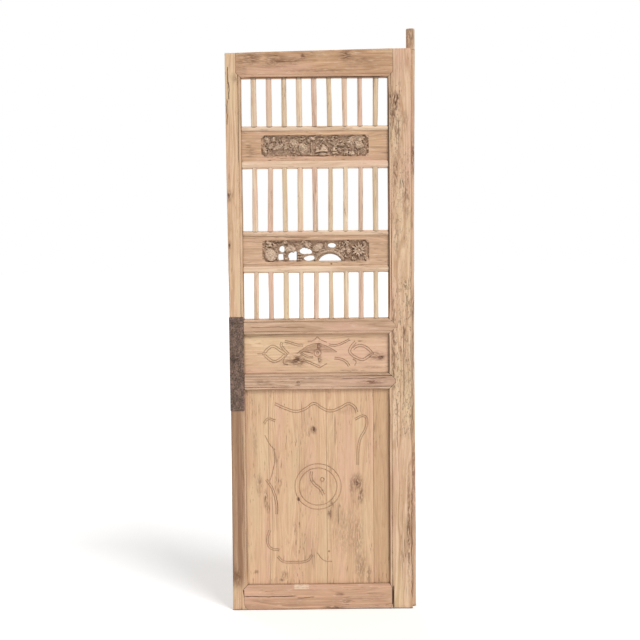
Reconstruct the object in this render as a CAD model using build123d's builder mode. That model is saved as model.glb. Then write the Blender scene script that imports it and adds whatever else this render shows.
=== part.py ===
"""One leaf of a pivot-hung screen door in old elm: three tiers of upright bars with
carved boards between them, a waist panel, and a tall skirt panel below.

Seen from its front face, X runs to the right, Y runs into the leaf and Z runs up.
The origin is on the pivot pole's axis, at the pole's foot. All sizes are millimetres.
"""

import os

from build123d import *

os.makedirs("parts", exist_ok=True)

# Stiles and the opening between them
stile_depth = 60.0
lock_stile_width = 57.0
hinge_stile_width = 85.5
opening_width = 540.0

# Pivot pole, let into the back corner of the hinge stile
pole_size = 32.0
pole_cover = 16.0  # how far the stile's lip reaches across the front of the pole
pole_rounding = 13.0
pin_radius = 15.8
pin_length = 76.0
pin_rounding = 2.5

# Heights of the tiers, from the floor up
bottom_rail_height = 95.5
skirt_height = 743.5
lower_waist_rail_height = 60.0
waist_panel_height = 148.0
upper_waist_rail_height = 56.5
lower_bars_height = 172.0
lower_board_foot_rail_height = 27.0
lower_board_height = 108.0
lower_board_head_rail_height = 21.0
middle_bars_height = 228.5
upper_board_foot_rail_height = 30.0
upper_board_height = 106.0
upper_board_head_rail_height = 20.0
upper_bars_height = 176.0
top_rail_lock_height = 90.0
top_rail_hinge_height = 101.0

# Mitred shoulders that lie over the stiles' faces, and the tenons behind them
face_depth = 14.0
top_mitre = 17.0
waist_mitre = 24.0
bottom_mitre = 18.0
bottom_undercut = 5.0
bottom_round_reach = 13.0
tenon_thickness = 16.0
tenon_length = 36.0
tenon_edge_distance = 8.0
tenon_setback = 24.0  # from the leaf's front to the tenon's front
joint_clearance = 0.2

# Bead and quirk run along the inner edges of the frame
bead_radius = 5.0
quirk_inset = 10.0
quirk_width = 2.4
quirk_depth = 1.8

# Slender rails that carry the carved boards and the bars
slender_rail_depth = 36.0
slender_rail_setback = 4.0
slender_rail_rounding = 9.5
slender_tenon_thickness = 12.0
slender_tenon_length = 20.0
slender_tenon_edge_distance = 4.0

# Upright bars, rounded in front and scribed over the slender rails' rounded fronts
bar_depth = 20.0
bar_setback = 5.0
bar_pitch = 55.75
bar_rounding = 5.5
bar_tenon_size = 9.0
bar_tenon_length = 8.0
scribe_clearance = 0.2
mortise_spare_depth = 0.5

# Each bar, from the lock side: width at its foot, width at its head, and how far
# the head leans to the right, because they were planed and set by hand
upper_bars = [
    (20.0, 20.0, -0.7), (20.0, 20.5, -0.4), (19.5, 17.5, -0.5),
    (21.5, 20.5, -1.3), (17.0, 20.5, -2.2), (18.5, 17.5, -3.1),
    (17.0, 19.0, -1.1), (18.0, 17.0, -0.9), (16.5, 20.5, 2.7),
]
middle_bars = [
    (20.5, 17.5, 0.0), (19.0, 18.5, 3.1), (18.5, 17.0, -1.3),
    (20.5, 20.5, 1.1), (19.5, 19.5, -0.9), (17.0, 16.5, 1.8),
    (17.5, 17.0, 1.5), (16.0, 16.5, 1.6), (18.5, 20.5, -0.7),
]
lower_bars = [
    (18.0, 17.5, 1.8), (19.0, 19.0, -0.4), (20.5, 19.0, 0.4),
    (17.0, 17.0, 1.1), (19.0, 17.5, 1.8), (17.5, 16.5, 0.2),
    (18.0, 19.0, 0.9), (19.0, 19.0, 0.9), (17.5, 17.5, 0.0),
]

# Carved boards, each with a sunk field
board_thickness = 20.0
board_setback = 9.0
board_groove_depth = 6.0
field_width = 396.0
field_height = 80.0
field_depth = 9.0
field_notch = 11.0  # radius of the indent at each corner

# Openings broken through the lower board's carving: across and up from the middle
# of the field, then width and height
pierced_openings = [
    (-127.0, 7.0, 16.0, 20.0),
    (-132.0, -22.0, 18.0, 22.0),
    (-89.0, -19.0, 26.0, 28.0),
    (-40.0, -1.0, 40.0, 22.0),
    (-26.0, -28.0, 36.0, 17.0),
    (61.0, 19.0, 28.0, 15.0),
]
arch_offset = 53.0
arch_width = 86.0
arch_height = 25.0
arch_foot = 3.0  # above the foot of the field

# Waist and skirt panels, held in grooves
panel_thickness = 16.0
panel_setback = 12.0
panel_groove_depth = 9.0
panel_play = 1.0
skirt_board_widths = [87.0, 216.0, 177.0]  # from the lock side, all but the last
seam_width = 1.6
seam_depth = 1.2

# Battens that hold the skirt's boards flat, in dovetailed housings across its back
batten_height = 44.0
batten_thickness = 21.0
batten_housing_depth = 5.0
batten_flare = 3.0
batten_end_play = 2.0
batten_edge_distance = 150.0

# Iron plate folded round the lock stile, with a staple
plate_thickness = 2.0
plate_height = 350.0
plate_foot = 762.0
plate_return = 40.0
plate_bend_radius = 2.0
plate_edge_gap = 1.0
staple_wire = 5.0
staple_span = 26.0
staple_projection = 9.0
staple_bend_radius = 5.0
staple_height = 201.0  # above the plate's foot
staple_inset = 24.0  # from the stile's outer edge to the staple's middle

# Places across the leaf
pole_half = pole_size / 2
hinge_right = pole_cover - pole_half
hinge_left = hinge_right - hinge_stile_width
lock_right = hinge_left - opening_width
lock_left = lock_right - lock_stile_width
opening_middle = (hinge_left + lock_right) / 2
leaf_back = pole_half
leaf_front = leaf_back - stile_depth

# Places up the leaf
skirt_top = bottom_rail_height + skirt_height
waist_panel_foot = skirt_top + lower_waist_rail_height
waist_panel_top = waist_panel_foot + waist_panel_height
lower_bars_foot = waist_panel_top + upper_waist_rail_height
lower_bars_top = lower_bars_foot + lower_bars_height
lower_board_foot = lower_bars_top + lower_board_foot_rail_height
lower_board_top = lower_board_foot + lower_board_height
middle_bars_foot = lower_board_top + lower_board_head_rail_height
middle_bars_top = middle_bars_foot + middle_bars_height
upper_board_foot = middle_bars_top + upper_board_foot_rail_height
upper_board_top = upper_board_foot + upper_board_height
upper_bars_foot = upper_board_top + upper_board_head_rail_height
upper_bars_top = upper_bars_foot + upper_bars_height
lock_stile_top = upper_bars_top + top_rail_lock_height
hinge_stile_top = upper_bars_top + top_rail_hinge_height

# Places through the leaf's depth
face_back = leaf_front + face_depth
tenon_span_y = (leaf_front + tenon_setback, leaf_front + tenon_setback + tenon_thickness)
slender_front = leaf_front + slender_rail_setback
slender_back = slender_front + slender_rail_depth
slender_middle = (slender_front + slender_back) / 2
slender_tenon_span_y = (
    slender_middle - slender_tenon_thickness / 2,
    slender_middle + slender_tenon_thickness / 2,
)
bar_middle = leaf_front + bar_setback + bar_depth / 2
board_span_y = (leaf_front + board_setback, leaf_front + board_setback + board_thickness)
panel_span_y = (leaf_front + panel_setback, leaf_front + panel_setback + panel_thickness)

# What stands between the stiles: each member's name with its foot and its top
slender_rails = {
    "lower_board_foot_rail": (lower_bars_top, lower_board_foot),
    "lower_board_head_rail": (lower_board_top, middle_bars_foot),
    "upper_board_foot_rail": (middle_bars_top, upper_board_foot),
    "upper_board_head_rail": (upper_board_top, upper_bars_foot),
}
boards = {
    "lower_carved_board": (lower_board_foot, lower_board_top),
    "upper_carved_board": (upper_board_foot, upper_board_top),
}
panels = {
    "skirt_panel": (bottom_rail_height, skirt_top),
    "waist_panel": (waist_panel_foot, waist_panel_top),
}
bar_tiers = {
    "lower_bar": (lower_bars, lower_bars_foot, lower_bars_top),
    "middle_bar": (middle_bars, middle_bars_foot, middle_bars_top),
    "upper_bar": (upper_bars, upper_bars_foot, upper_bars_top),
}
stout_tenons = {
    "bottom_rail": (tenon_edge_distance, bottom_rail_height - panel_groove_depth - tenon_edge_distance),
    "lower_waist_rail": (
        skirt_top + panel_groove_depth + tenon_edge_distance,
        waist_panel_foot - panel_groove_depth - tenon_edge_distance,
    ),
    "upper_waist_rail": (
        waist_panel_top + panel_groove_depth + tenon_edge_distance,
        lower_bars_foot - tenon_edge_distance,
    ),
    "top_rail": (
        upper_bars_top + 2 * tenon_edge_distance,
        lock_stile_top - 2 * tenon_edge_distance,
    ),
}


def save(part, label):
    part.label = label
    export_step(part, f"parts/{label}.step")


def block(span_x, span_y, span_z, mode=Mode.ADD):
    """A plain block between two places along each axis."""
    spans = (span_x, span_y, span_z)
    with Locations(tuple((low + high) / 2 for low, high in spans)):
        Box(*(high - low for low, high in spans), mode=mode)


def widened(span, by):
    return span[0] - by, span[1] + by


def outline_across(points):
    """An outline on the leaf's front, given as places across and up."""
    with BuildSketch(Plane.XZ.offset(-leaf_front)) as outline:
        with BuildLine():
            Polyline(*points, close=True)
        make_face()
    return outline.sketch


def waist_outline(foot, top):
    """A waist rail's face, mitred to a blunt point over each stile."""
    rise = min(waist_mitre, (top - foot) / 2)
    return outline_across([
        (lock_right, foot),
        (hinge_left, foot),
        (hinge_left + rise, foot + rise),
        (hinge_left + rise, top - rise),
        (hinge_left, top),
        (lock_right, top),
        (lock_right - rise, top - rise),
        (lock_right - rise, foot + rise),
    ])


def top_outline():
    """The top rail's face, mitred below and run out through the sloping top."""
    return outline_across([
        (lock_right, upper_bars_top),
        (hinge_left, upper_bars_top),
        (hinge_left + top_mitre, upper_bars_top + top_mitre),
        (hinge_left + top_mitre, hinge_stile_top),
        (lock_right - top_mitre, lock_stile_top),
        (lock_right - top_mitre, upper_bars_top + top_mitre),
    ])


def bottom_outline():
    """The bottom rail's face, with a blunt point at one end and a round at the other."""
    blunt_tip = lock_right - bottom_mitre
    with BuildSketch(Plane.XZ.offset(-leaf_front)) as outline:
        with BuildLine():
            Polyline(
                (hinge_left, bottom_rail_height),
                (lock_right, bottom_rail_height),
                (blunt_tip, bottom_rail_height - bottom_mitre),
                (blunt_tip + bottom_undercut, bottom_rail_height / 2),
                (blunt_tip + bottom_undercut, bottom_mitre),
                (lock_right, 0),
                (hinge_left, 0),
            )
            ThreePointArc(
                (hinge_left, 0),
                (hinge_left + bottom_round_reach, bottom_rail_height * 0.6),
                (hinge_left, bottom_rail_height),
            )
        make_face()
    return outline.sketch


outlines = {
    "bottom_rail": bottom_outline(),
    "lower_waist_rail": waist_outline(skirt_top, waist_panel_foot),
    "upper_waist_rail": waist_outline(waist_panel_top, lower_bars_foot),
    "top_rail": top_outline(),
}


def cut_bead(edge, inward, run):
    """Rounds a front edge into a bead with a quirk beside it, for a run each way."""
    outward = Vector(0, -1, 0)
    with BuildSketch(Plane(origin=edge, x_dir=inward, z_dir=Vector(*inward).cross(outward))) as waste:
        with BuildLine():
            Line((0, 0), (bead_radius, 0))
            TangentArc((bead_radius, 0), (0, -bead_radius), tangent=(-1, 0))
            Line((0, -bead_radius), (0, 0))
        make_face()
        with BuildLine():
            Polyline(
                (quirk_inset - quirk_width / 2, 0),
                (quirk_inset + quirk_width / 2, 0),
                (quirk_inset, -quirk_depth),
                close=True,
            )
        make_face()
    extrude(waste.sketch, amount=run, both=True, mode=Mode.SUBTRACT)


def cut_stile_joints(inner_edge, outward):
    """Cuts the rails' faces, mortises and grooves; outward is -1 or 1 along X."""

    def cut(span_y, span_z, depth):
        far = inner_edge + outward * depth
        block(
            (min(inner_edge, far), max(inner_edge, far)),
            widened(span_y, joint_clearance), span_z, mode=Mode.SUBTRACT,
        )

    for outline in outlines.values():
        extrude(outline, amount=-face_depth, mode=Mode.SUBTRACT)
    for span in stout_tenons.values():
        cut(tenon_span_y, widened(span, joint_clearance), tenon_length + mortise_spare_depth)
    for span in slender_rails.values():
        cut(
            slender_tenon_span_y,
            widened(span, joint_clearance - slender_tenon_edge_distance),
            slender_tenon_length + mortise_spare_depth,
        )
    for span in boards.values():
        cut(board_span_y, widened(span, board_groove_depth), board_groove_depth)
    for span in panels.values():
        cut(panel_span_y, widened(span, panel_groove_depth), panel_groove_depth)


def bar_feet():
    """The middles of the bars' feet, evenly spaced about the opening's middle."""
    count = len(upper_bars)
    return [opening_middle + (place - (count - 1) / 2) * bar_pitch for place in range(count)]


def cut_bar_mortises(level, opens_up):
    """Cuts the bars' mortises in a rail's top (opens_up) or underside at this level."""
    for bars, foot, top in bar_tiers.values():
        if level not in (foot, top):
            continue
        for middle, (_, _, lean) in zip(bar_feet(), bars):
            across = middle if opens_up else middle + lean
            depth = bar_tenon_length + mortise_spare_depth
            half = bar_tenon_size / 2 + joint_clearance
            block(
                (across - half, across + half),
                (bar_middle - half, bar_middle + half),
                (level - depth, level) if opens_up else (level, level + depth),
                mode=Mode.SUBTRACT,
            )


def cut_rail_groove(level, opens_up, span_y, depth):
    """Cuts a groove along a rail's top or underside for a board or a panel."""
    block(
        widened((lock_right, hinge_left), depth),
        widened(span_y, joint_clearance),
        (level - depth, level) if opens_up else (level, level + depth),
        mode=Mode.SUBTRACT,
    )


# Stiles
with BuildPart() as lock_stile:
    block((lock_left, lock_right), (leaf_front, leaf_back), (0, lock_stile_top))
    cut_bead((lock_right, leaf_front, 0), (-1, 0, 0), lock_stile_top)
    cut_stile_joints(lock_right, outward=-1)
save(lock_stile.part, "lock_stile")

with BuildPart() as hinge_stile:
    with BuildSketch(Plane.XY):
        with BuildLine():
            Polyline(
                (hinge_left, leaf_front),
                (hinge_right, leaf_front),
                (hinge_right, -pole_half),
                (-pole_half, -pole_half),
                (-pole_half, leaf_back),
                (hinge_left, leaf_back),
                close=True,
            )
        make_face()
    extrude(amount=hinge_stile_top)
    cut_bead((hinge_left, leaf_front, 0), (1, 0, 0), hinge_stile_top)
    cut_stile_joints(hinge_left, outward=1)
save(hinge_stile.part, "hinge_stile")

# Pivot pole, with the pin that turns in the door head's socket
with BuildPart() as pivot_pole:
    with BuildSketch(Plane.XY) as pole_section:
        Rectangle(pole_size, pole_size)
        fillet(pole_section.vertices().group_by(Axis.X)[-1], radius=pole_rounding)
    extrude(amount=hinge_stile_top)
    with BuildSketch(Plane.XY.offset(hinge_stile_top)):
        Circle(pin_radius)
    extrude(amount=pin_length)
    fillet(pivot_pole.faces().sort_by(Axis.Z)[-1].edges(), radius=pin_rounding)
save(pivot_pole.part, "pivot_pole")


# Stout rails: faces mitred over the stiles, square shoulders and tenons behind
def build_stout_body(name):
    extrude(outlines[name], amount=-stile_depth)
    behind_face = (face_back, leaf_back)
    reach = max(top_mitre, waist_mitre, bottom_mitre, bottom_round_reach)
    for span in ((lock_right - reach, lock_right), (hinge_left, hinge_left + reach)):
        block(span, behind_face, (0, hinge_stile_top), mode=Mode.SUBTRACT)
    block(
        (lock_right - tenon_length, hinge_left + tenon_length),
        tenon_span_y, stout_tenons[name],
    )


def cut_rail_bead(level, inward):
    cut_bead((opening_middle, leaf_front, level), (0, 0, inward), opening_width)


with BuildPart() as bottom_rail:
    build_stout_body("bottom_rail")
    cut_rail_groove(bottom_rail_height, True, panel_span_y, panel_groove_depth)
save(bottom_rail.part, "bottom_rail")

with BuildPart() as lower_waist_rail:
    build_stout_body("lower_waist_rail")
    cut_rail_bead(skirt_top, 1)
    cut_rail_bead(waist_panel_foot, -1)
    cut_rail_groove(skirt_top, False, panel_span_y, panel_groove_depth)
    cut_rail_groove(waist_panel_foot, True, panel_span_y, panel_groove_depth)
save(lower_waist_rail.part, "lower_waist_rail")

with BuildPart() as upper_waist_rail:
    build_stout_body("upper_waist_rail")
    cut_rail_bead(waist_panel_top, 1)
    cut_rail_bead(lower_bars_foot, -1)
    cut_rail_groove(waist_panel_top, False, panel_span_y, panel_groove_depth)
    cut_bar_mortises(lower_bars_foot, opens_up=True)
save(upper_waist_rail.part, "upper_waist_rail")

with BuildPart() as top_rail:
    build_stout_body("top_rail")
    cut_rail_bead(upper_bars_top, 1)
    cut_bar_mortises(upper_bars_top, opens_up=False)
save(top_rail.part, "top_rail")

# Slender rails: rounded on the front, grooved for a board and mortised for the bars
for name, (foot, top) in slender_rails.items():
    carries_board_above = name.endswith("foot_rail")
    with BuildPart() as slender_rail:
        with BuildSketch(Plane.YZ.offset(lock_right)) as section:
            with Locations((slender_middle, (foot + top) / 2)):
                Rectangle(slender_rail_depth, top - foot)
            fillet(section.vertices().group_by(Axis.X)[0], radius=slender_rail_rounding)
        extrude(amount=opening_width)
        block(
            (lock_right - slender_tenon_length, hinge_left + slender_tenon_length),
            slender_tenon_span_y,
            widened((foot, top), -slender_tenon_edge_distance),
        )
        board_level, bar_level = (top, foot) if carries_board_above else (foot, top)
        cut_rail_groove(board_level, carries_board_above, board_span_y, board_groove_depth)
        cut_bar_mortises(bar_level, opens_up=not carries_board_above)
    save(slender_rail.part, name)



# Upright bars, lofted from foot to head, with a tenon at each end
def bar_section(level, across, width):
    """A bar's section: square behind, and planed round in front, in two flats a corner."""
    back = bar_middle + bar_depth / 2
    front = bar_middle - bar_depth / 2
    half = width / 2
    flat = bar_rounding * (1 - 0.5 ** 0.5)
    with BuildSketch(Plane.XY.offset(level)) as section:
        with BuildLine():
            Polyline(
                (across - half, back),
                (across - half, front + bar_rounding),
                (across - half + flat, front + flat),
                (across - half + bar_rounding, front),
                (across + half - bar_rounding, front),
                (across + half - flat, front + flat),
                (across + half, front + bar_rounding),
                (across + half, back),
                close=True,
            )
        make_face()
    return section.sketch


def scribe_end(level, inward):
    """Fits a bar's end over the rounded front of the slender rail that it stands on."""
    middle_z = level - inward * slender_rail_rounding
    block(
        (lock_right, hinge_left),
        (slender_front + slender_rail_rounding, leaf_back),
        (min(middle_z, level), max(middle_z, level)), mode=Mode.SUBTRACT,
    )
    with BuildSketch(Plane.YZ.offset(lock_right)) as rail_front:
        with Locations((slender_front + slender_rail_rounding, middle_z)):
            Circle(slender_rail_rounding + scribe_clearance)
    extrude(rail_front.sketch, amount=opening_width, mode=Mode.SUBTRACT)


slender_levels = [level for span in slender_rails.values() for level in span]
for tier, (bars, foot, top) in bar_tiers.items():
    lap_foot = slender_rail_rounding if foot in slender_levels else 0
    lap_head = slender_rail_rounding if top in slender_levels else 0
    for place, (middle, (foot_width, head_width, lean)) in enumerate(zip(bar_feet(), bars), start=1):
        with BuildPart() as bar:
            loft([
                bar_section(foot - lap_foot, middle, foot_width),
                bar_section(top + lap_head, middle + lean, head_width),
            ], ruled=True)
            if lap_foot:
                scribe_end(foot, inward=1)
            if lap_head:
                scribe_end(top, inward=-1)
            for across, span_z in (
                (middle, (foot - bar_tenon_length, foot)),
                (middle + lean, (top, top + bar_tenon_length)),
            ):
                half = bar_tenon_size / 2
                block((across - half, across + half), (bar_middle - half, bar_middle + half), span_z)
        save(bar.part, f"{tier}_{place}")


# Carved boards, seated in the slender rails' grooves
def cut_field(foot, top):
    """Sinks the field that the carving stands in."""
    with BuildSketch(Plane.XZ.offset(-board_span_y[0])) as field:
        with Locations((opening_middle, (foot + top) / 2)):
            Rectangle(field_width, field_height)
            with GridLocations(field_width, field_height, 2, 2):
                Circle(field_notch, mode=Mode.SUBTRACT)
    extrude(field.sketch, amount=-field_depth, mode=Mode.SUBTRACT)


def cut_pierced_openings(foot, top):
    """Breaks the carving's openings and the arch through the board."""
    level = (foot + top) / 2
    arch_level = level - field_height / 2 + arch_foot
    arch_middle = opening_middle + arch_offset
    with BuildSketch(Plane.XZ.offset(-board_span_y[0])) as pierced:
        for across, up, width, height in pierced_openings:
            with Locations((opening_middle + across, level + up)):
                Ellipse(width / 2, height / 2)
        with BuildLine():
            ThreePointArc(
                (arch_middle + arch_width / 2, arch_level),
                (arch_middle, arch_level + arch_height),
                (arch_middle - arch_width / 2, arch_level),
            )
            Line(
                (arch_middle - arch_width / 2, arch_level),
                (arch_middle + arch_width / 2, arch_level),
            )
        make_face()
    extrude(pierced.sketch, amount=-board_thickness, mode=Mode.SUBTRACT)


for name, (foot, top) in boards.items():
    edge_reach = board_groove_depth - panel_play
    with BuildPart() as carved_board:
        block(
            (lock_right - edge_reach, hinge_left + edge_reach),
            board_span_y,
            (foot - board_groove_depth, top + edge_reach),
        )
        cut_field(foot, top)
        if name == "lower_carved_board":
            cut_pierced_openings(foot, top)
    save(carved_board.part, name)

# Waist panel, and the skirt panel with its boards' seams on both faces
panel_reach = panel_groove_depth - panel_play
with BuildPart() as waist_panel:
    block(
        (lock_right - panel_reach, hinge_left + panel_reach),
        panel_span_y,
        (waist_panel_foot - panel_groove_depth, waist_panel_top + panel_reach),
    )
save(waist_panel.part, "waist_panel")


def batten_section(level):
    """A batten's section, flared where it lies in the panel's back."""
    housing_floor = panel_span_y[1] - batten_housing_depth
    slim = batten_height / 2
    wide = slim + batten_flare
    with BuildSketch(Plane.YZ.offset(lock_right)) as section:
        with BuildLine():
            Polyline(
                (housing_floor, level - wide),
                (panel_span_y[1], level - slim),
                (housing_floor + batten_thickness, level - slim),
                (housing_floor + batten_thickness, level + slim),
                (panel_span_y[1], level + slim),
                (housing_floor, level + wide),
                close=True,
            )
        make_face()
    return section.sketch


batten_levels = {
    "skirt_batten_lower": bottom_rail_height + batten_edge_distance,
    "skirt_batten_upper": skirt_top - batten_edge_distance,
}

with BuildPart() as skirt_panel:
    block(
        (lock_right - panel_reach, hinge_left + panel_reach),
        panel_span_y,
        (bottom_rail_height - panel_groove_depth, skirt_top + panel_reach),
    )
    for face_y, inward in ((panel_span_y[0], 1), (panel_span_y[1], -1)):
        seam = lock_right
        for board_width in skirt_board_widths:
            seam += board_width
            with BuildSketch(Plane.XY.offset(bottom_rail_height)):
                with BuildLine():
                    Polyline(
                        (seam - seam_width / 2, face_y),
                        (seam + seam_width / 2, face_y),
                        (seam, face_y + inward * seam_depth),
                        close=True,
                    )
                make_face()
    extrude(amount=skirt_height, mode=Mode.SUBTRACT)
    for level in batten_levels.values():
        extrude(batten_section(level), amount=opening_width + panel_reach, mode=Mode.SUBTRACT)
        extrude(batten_section(level), amount=-panel_reach, mode=Mode.SUBTRACT)
save(skirt_panel.part, "skirt_panel")

for name, level in batten_levels.items():
    with BuildPart() as batten:
        extrude(batten_section(level), amount=opening_width - batten_end_play)
    save(batten.part, name)

# Lock plate, with the staple fused to it
with BuildPart() as lock_plate:
    with BuildSketch(Plane.XY.offset(plate_foot)) as plate_section:
        with BuildLine():
            Polyline(
                (lock_right - plate_edge_gap, leaf_front),
                (lock_left, leaf_front),
                (lock_left, leaf_front + plate_return),
                (lock_left - plate_thickness, leaf_front + plate_return),
                (lock_left - plate_thickness, leaf_front - plate_thickness),
                (lock_right - plate_edge_gap, leaf_front - plate_thickness),
                close=True,
            )
        make_face()
        bend = plate_section.vertices().group_by(Axis.Y)[0].sort_by(Axis.X)[0]
        fillet(bend, radius=plate_bend_radius)
    extrude(amount=plate_height)

    staple_middle = lock_left + staple_inset
    staple_root = leaf_front - plate_thickness / 2
    staple_tip = leaf_front - plate_thickness - staple_projection
    with BuildLine(Plane.XY.offset(plate_foot + staple_height)) as staple_path:
        FilletPolyline(
            (staple_middle - staple_span / 2, staple_root),
            (staple_middle - staple_span / 2, staple_tip),
            (staple_middle + staple_span / 2, staple_tip),
            (staple_middle + staple_span / 2, staple_root),
            radius=staple_bend_radius,
        )
    with BuildSketch(Plane(staple_path.line @ 0, z_dir=staple_path.line % 0)):
        Circle(staple_wire / 2)
    sweep(path=staple_path.line)
save(lock_plate.part, "lock_plate")
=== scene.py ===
# %% [markdown]
# An old elm door leaf, dressed for the camera. The imported model gives every stile,
# rail, bar and board at its real size. This lesson wears those timbers down by hand
# tools and weather, carves the boards, cuts the line ornament into the panels and
# mixes a bare elm finish with its rings, knots, checks, grime and painted shade.

import math
import random
from types import SimpleNamespace

import bpy
from mathutils import Matrix, Vector


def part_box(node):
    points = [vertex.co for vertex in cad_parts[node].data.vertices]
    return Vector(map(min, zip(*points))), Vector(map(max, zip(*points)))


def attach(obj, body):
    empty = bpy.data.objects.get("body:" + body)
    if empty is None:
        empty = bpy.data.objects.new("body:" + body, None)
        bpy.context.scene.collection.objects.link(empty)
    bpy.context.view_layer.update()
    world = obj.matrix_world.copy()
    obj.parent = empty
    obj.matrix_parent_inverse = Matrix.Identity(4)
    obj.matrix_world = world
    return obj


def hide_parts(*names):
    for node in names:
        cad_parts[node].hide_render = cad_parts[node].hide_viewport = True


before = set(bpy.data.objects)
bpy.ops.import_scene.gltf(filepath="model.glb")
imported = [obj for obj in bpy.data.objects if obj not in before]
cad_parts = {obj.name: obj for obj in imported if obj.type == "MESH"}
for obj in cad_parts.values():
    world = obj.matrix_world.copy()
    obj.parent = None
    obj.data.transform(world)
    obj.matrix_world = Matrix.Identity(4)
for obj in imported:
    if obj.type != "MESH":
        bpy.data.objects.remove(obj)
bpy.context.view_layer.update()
bpy.ops.object.select_all(action="DESELECT")
MM = 0.001
frame_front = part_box("lock_stile")[0].y * 1000  # the front face of the frame, in mm


# %% [markdown]
# The camera stands about four and a half metres away at chest height, tilted a little
# down. The tilt makes the leaf narrow slightly towards its foot. A lens angle of about
# thirty degrees keeps that effect gentle.

# %% Camera
FRAME_PIXELS = 640
SENSOR_MM = 36.0
CAMERA_PLACE = Vector((-0.362, -4.60, 1.468))
CAMERA_TILT_DOWN = math.radians(4.62)
CAMERA_TURN = math.radians(-0.25)
CAMERA_ROLL = math.radians(-0.52)
FOCAL_PIXELS = 1229.5
FAR_CLIP = 60.0  # in metres, past the far edge of the floor

bpy.ops.object.camera_add(location=CAMERA_PLACE)
camera = bpy.context.object
camera.name = "camera"
camera.data.sensor_width = SENSOR_MM
camera.data.lens = FOCAL_PIXELS / FRAME_PIXELS * SENSOR_MM
camera.data.clip_end = FAR_CLIP
camera.rotation_euler = (Matrix.Rotation(CAMERA_TURN, 3, "Z")
                         @ Matrix.Rotation(math.pi / 2 - CAMERA_TILT_DOWN, 3, "X")
                         @ Matrix.Rotation(CAMERA_ROLL, 3, "Z")).to_euler()
bpy.context.scene.camera = camera
print("lens", round(camera.data.lens, 1), "mm")


# %% [markdown]
# Studio light for old wood is broad and soft. One large lamp, above and to the right
# of the camera, draws the shadows under rails and beads. A weaker one behind the leaf
# lights its back and edges. Suns are used, as they light all of a tall leaf evenly.

# %% Lamps
SUN_DISTANCE = 6.0  # in metres, and only for the eye: a sun lights the same from anywhere


def add_sun(name, azimuth_deg, height_deg, softness_deg, strength):
    """A soft far lamp; azimuth 0 shines from the camera's side, 90 from the right."""
    turn, rise = math.radians(azimuth_deg), math.radians(height_deg)
    level = math.cos(rise)
    place = Vector((math.sin(turn) * level, -math.cos(turn) * level, math.sin(rise))) * SUN_DISTANCE
    bpy.ops.object.light_add(type="SUN", location=place)
    lamp = bpy.context.object
    lamp.name = name
    lamp.data.angle = math.radians(softness_deg)
    lamp.data.energy = strength
    lamp.rotation_euler = place.to_track_quat("Z", "Y").to_euler()


add_sun("key_lamp", 38, 48, 24, 1.95)
add_sun("rim_lamp", 200, 40, 40, 0.9)
scene = bpy.context.scene


# %% [markdown]
# Every finish here is a small tree of shader nodes. By hand they would be added and
# wired one by one in the shader editor. One function does the same: it adds a node,
# sets it, and links whatever goes into it.

# %% Adding a node
TIMES, PLUS, MINUS = ({"operation": word} for word in ("MULTIPLY", "ADD", "SUBTRACT"))
TIMES_PLUS = {"operation": "MULTIPLY_ADD"}
LARGER = {"operation": "MAXIMUM"}
UNSIGNED = {"operation": "ABSOLUTE"}
SMOOTH = {"interpolation_type": "SMOOTHSTEP"}


def linear(code):
    """Turns an sRGB hex colour into the linear values that a shader takes."""
    parts = [int(code[i:i + 2], 16) / 255 for i in (1, 3, 5)]
    return [c / 12.92 if c <= 0.04045 else ((c + 0.055) / 1.055) ** 2.4 for c in parts] + [1.0]


def add(tree, kind, inputs=(), **settings):
    """Adds a node. Its inputs, listed in order or named, are nodes, sockets or values."""
    node = tree.nodes.new("ShaderNode" + kind)
    for field, value in settings.items():
        setattr(node, field, value)
    for socket, value in inputs.items() if isinstance(inputs, dict) else enumerate(inputs):
        if isinstance(value, bpy.types.Node):
            value = value.outputs[0]
        if isinstance(value, bpy.types.NodeSocket):
            tree.links.new(value, node.inputs[socket])
        else:
            node.inputs[socket].default_value = value
    return node


def new_material(name):
    material = bpy.data.materials.new(name)
    material.use_nodes = True
    material.node_tree.nodes.clear()
    return material, material.node_tree


# %% [markdown]
# The leaf stands in an empty white studio. The floor has to keep the leaf's shadow and
# still run into the backdrop, so it glows a little where the camera looks at it. The
# world is white to the camera and much dimmer as a light, so that pale wood isn't
# washed out.

# %% Floor and backdrop
FLOOR_LIFT = 0.24  # what the floor gives off by itself, so that it meets the white backdrop
AMBIENT = 0.41
WHITE = (1, 1, 1, 1)
WARM_WHITE = (1, 0.99, 0.975, 1)


def seen_directly(tree):
    """One where the camera, a reflection or glass looks straight at the surface."""
    path = add(tree, "LightPath").outputs
    mirror = add(tree, "Math", [path["Is Camera Ray"], path["Is Glossy Ray"]], **LARGER)
    return add(tree, "Math", [mirror, path["Is Transmission Ray"]], **LARGER)


world = bpy.data.worlds.new("studio")
scene.world = world
world.use_nodes = True
sky = world.node_tree
sky.nodes.clear()
backdrop = add(sky, "Background", {"Color": WHITE, "Strength": 1.0})
ambient = add(sky, "Background", {"Color": WARM_WHITE, "Strength": AMBIENT})
add(sky, "OutputWorld", {"Surface": add(sky, "MixShader", [seen_directly(sky), ambient, backdrop])})

floor_material, tree = new_material("matt white studio floor")
matt = add(tree, "BsdfDiffuse", {"Color": (0.88, 0.88, 0.88, 1)})
lift = add(tree, "Math", [seen_directly(tree), FLOOR_LIFT], **TIMES)
glow = add(tree, "Emission", {"Color": WHITE, "Strength": lift})
add(tree, "OutputMaterial", {"Surface": add(tree, "AddShader", [matt, glow])})

bpy.ops.mesh.primitive_plane_add(size=60.0, location=(0, 0, -0.0005))
floor = bpy.context.object
floor.name = "studio_floor"
floor.data.materials.append(floor_material)
scene.view_settings.view_transform = "Standard"
print("floor lift:", FLOOR_LIFT, "ambient:", AMBIENT)
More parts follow.
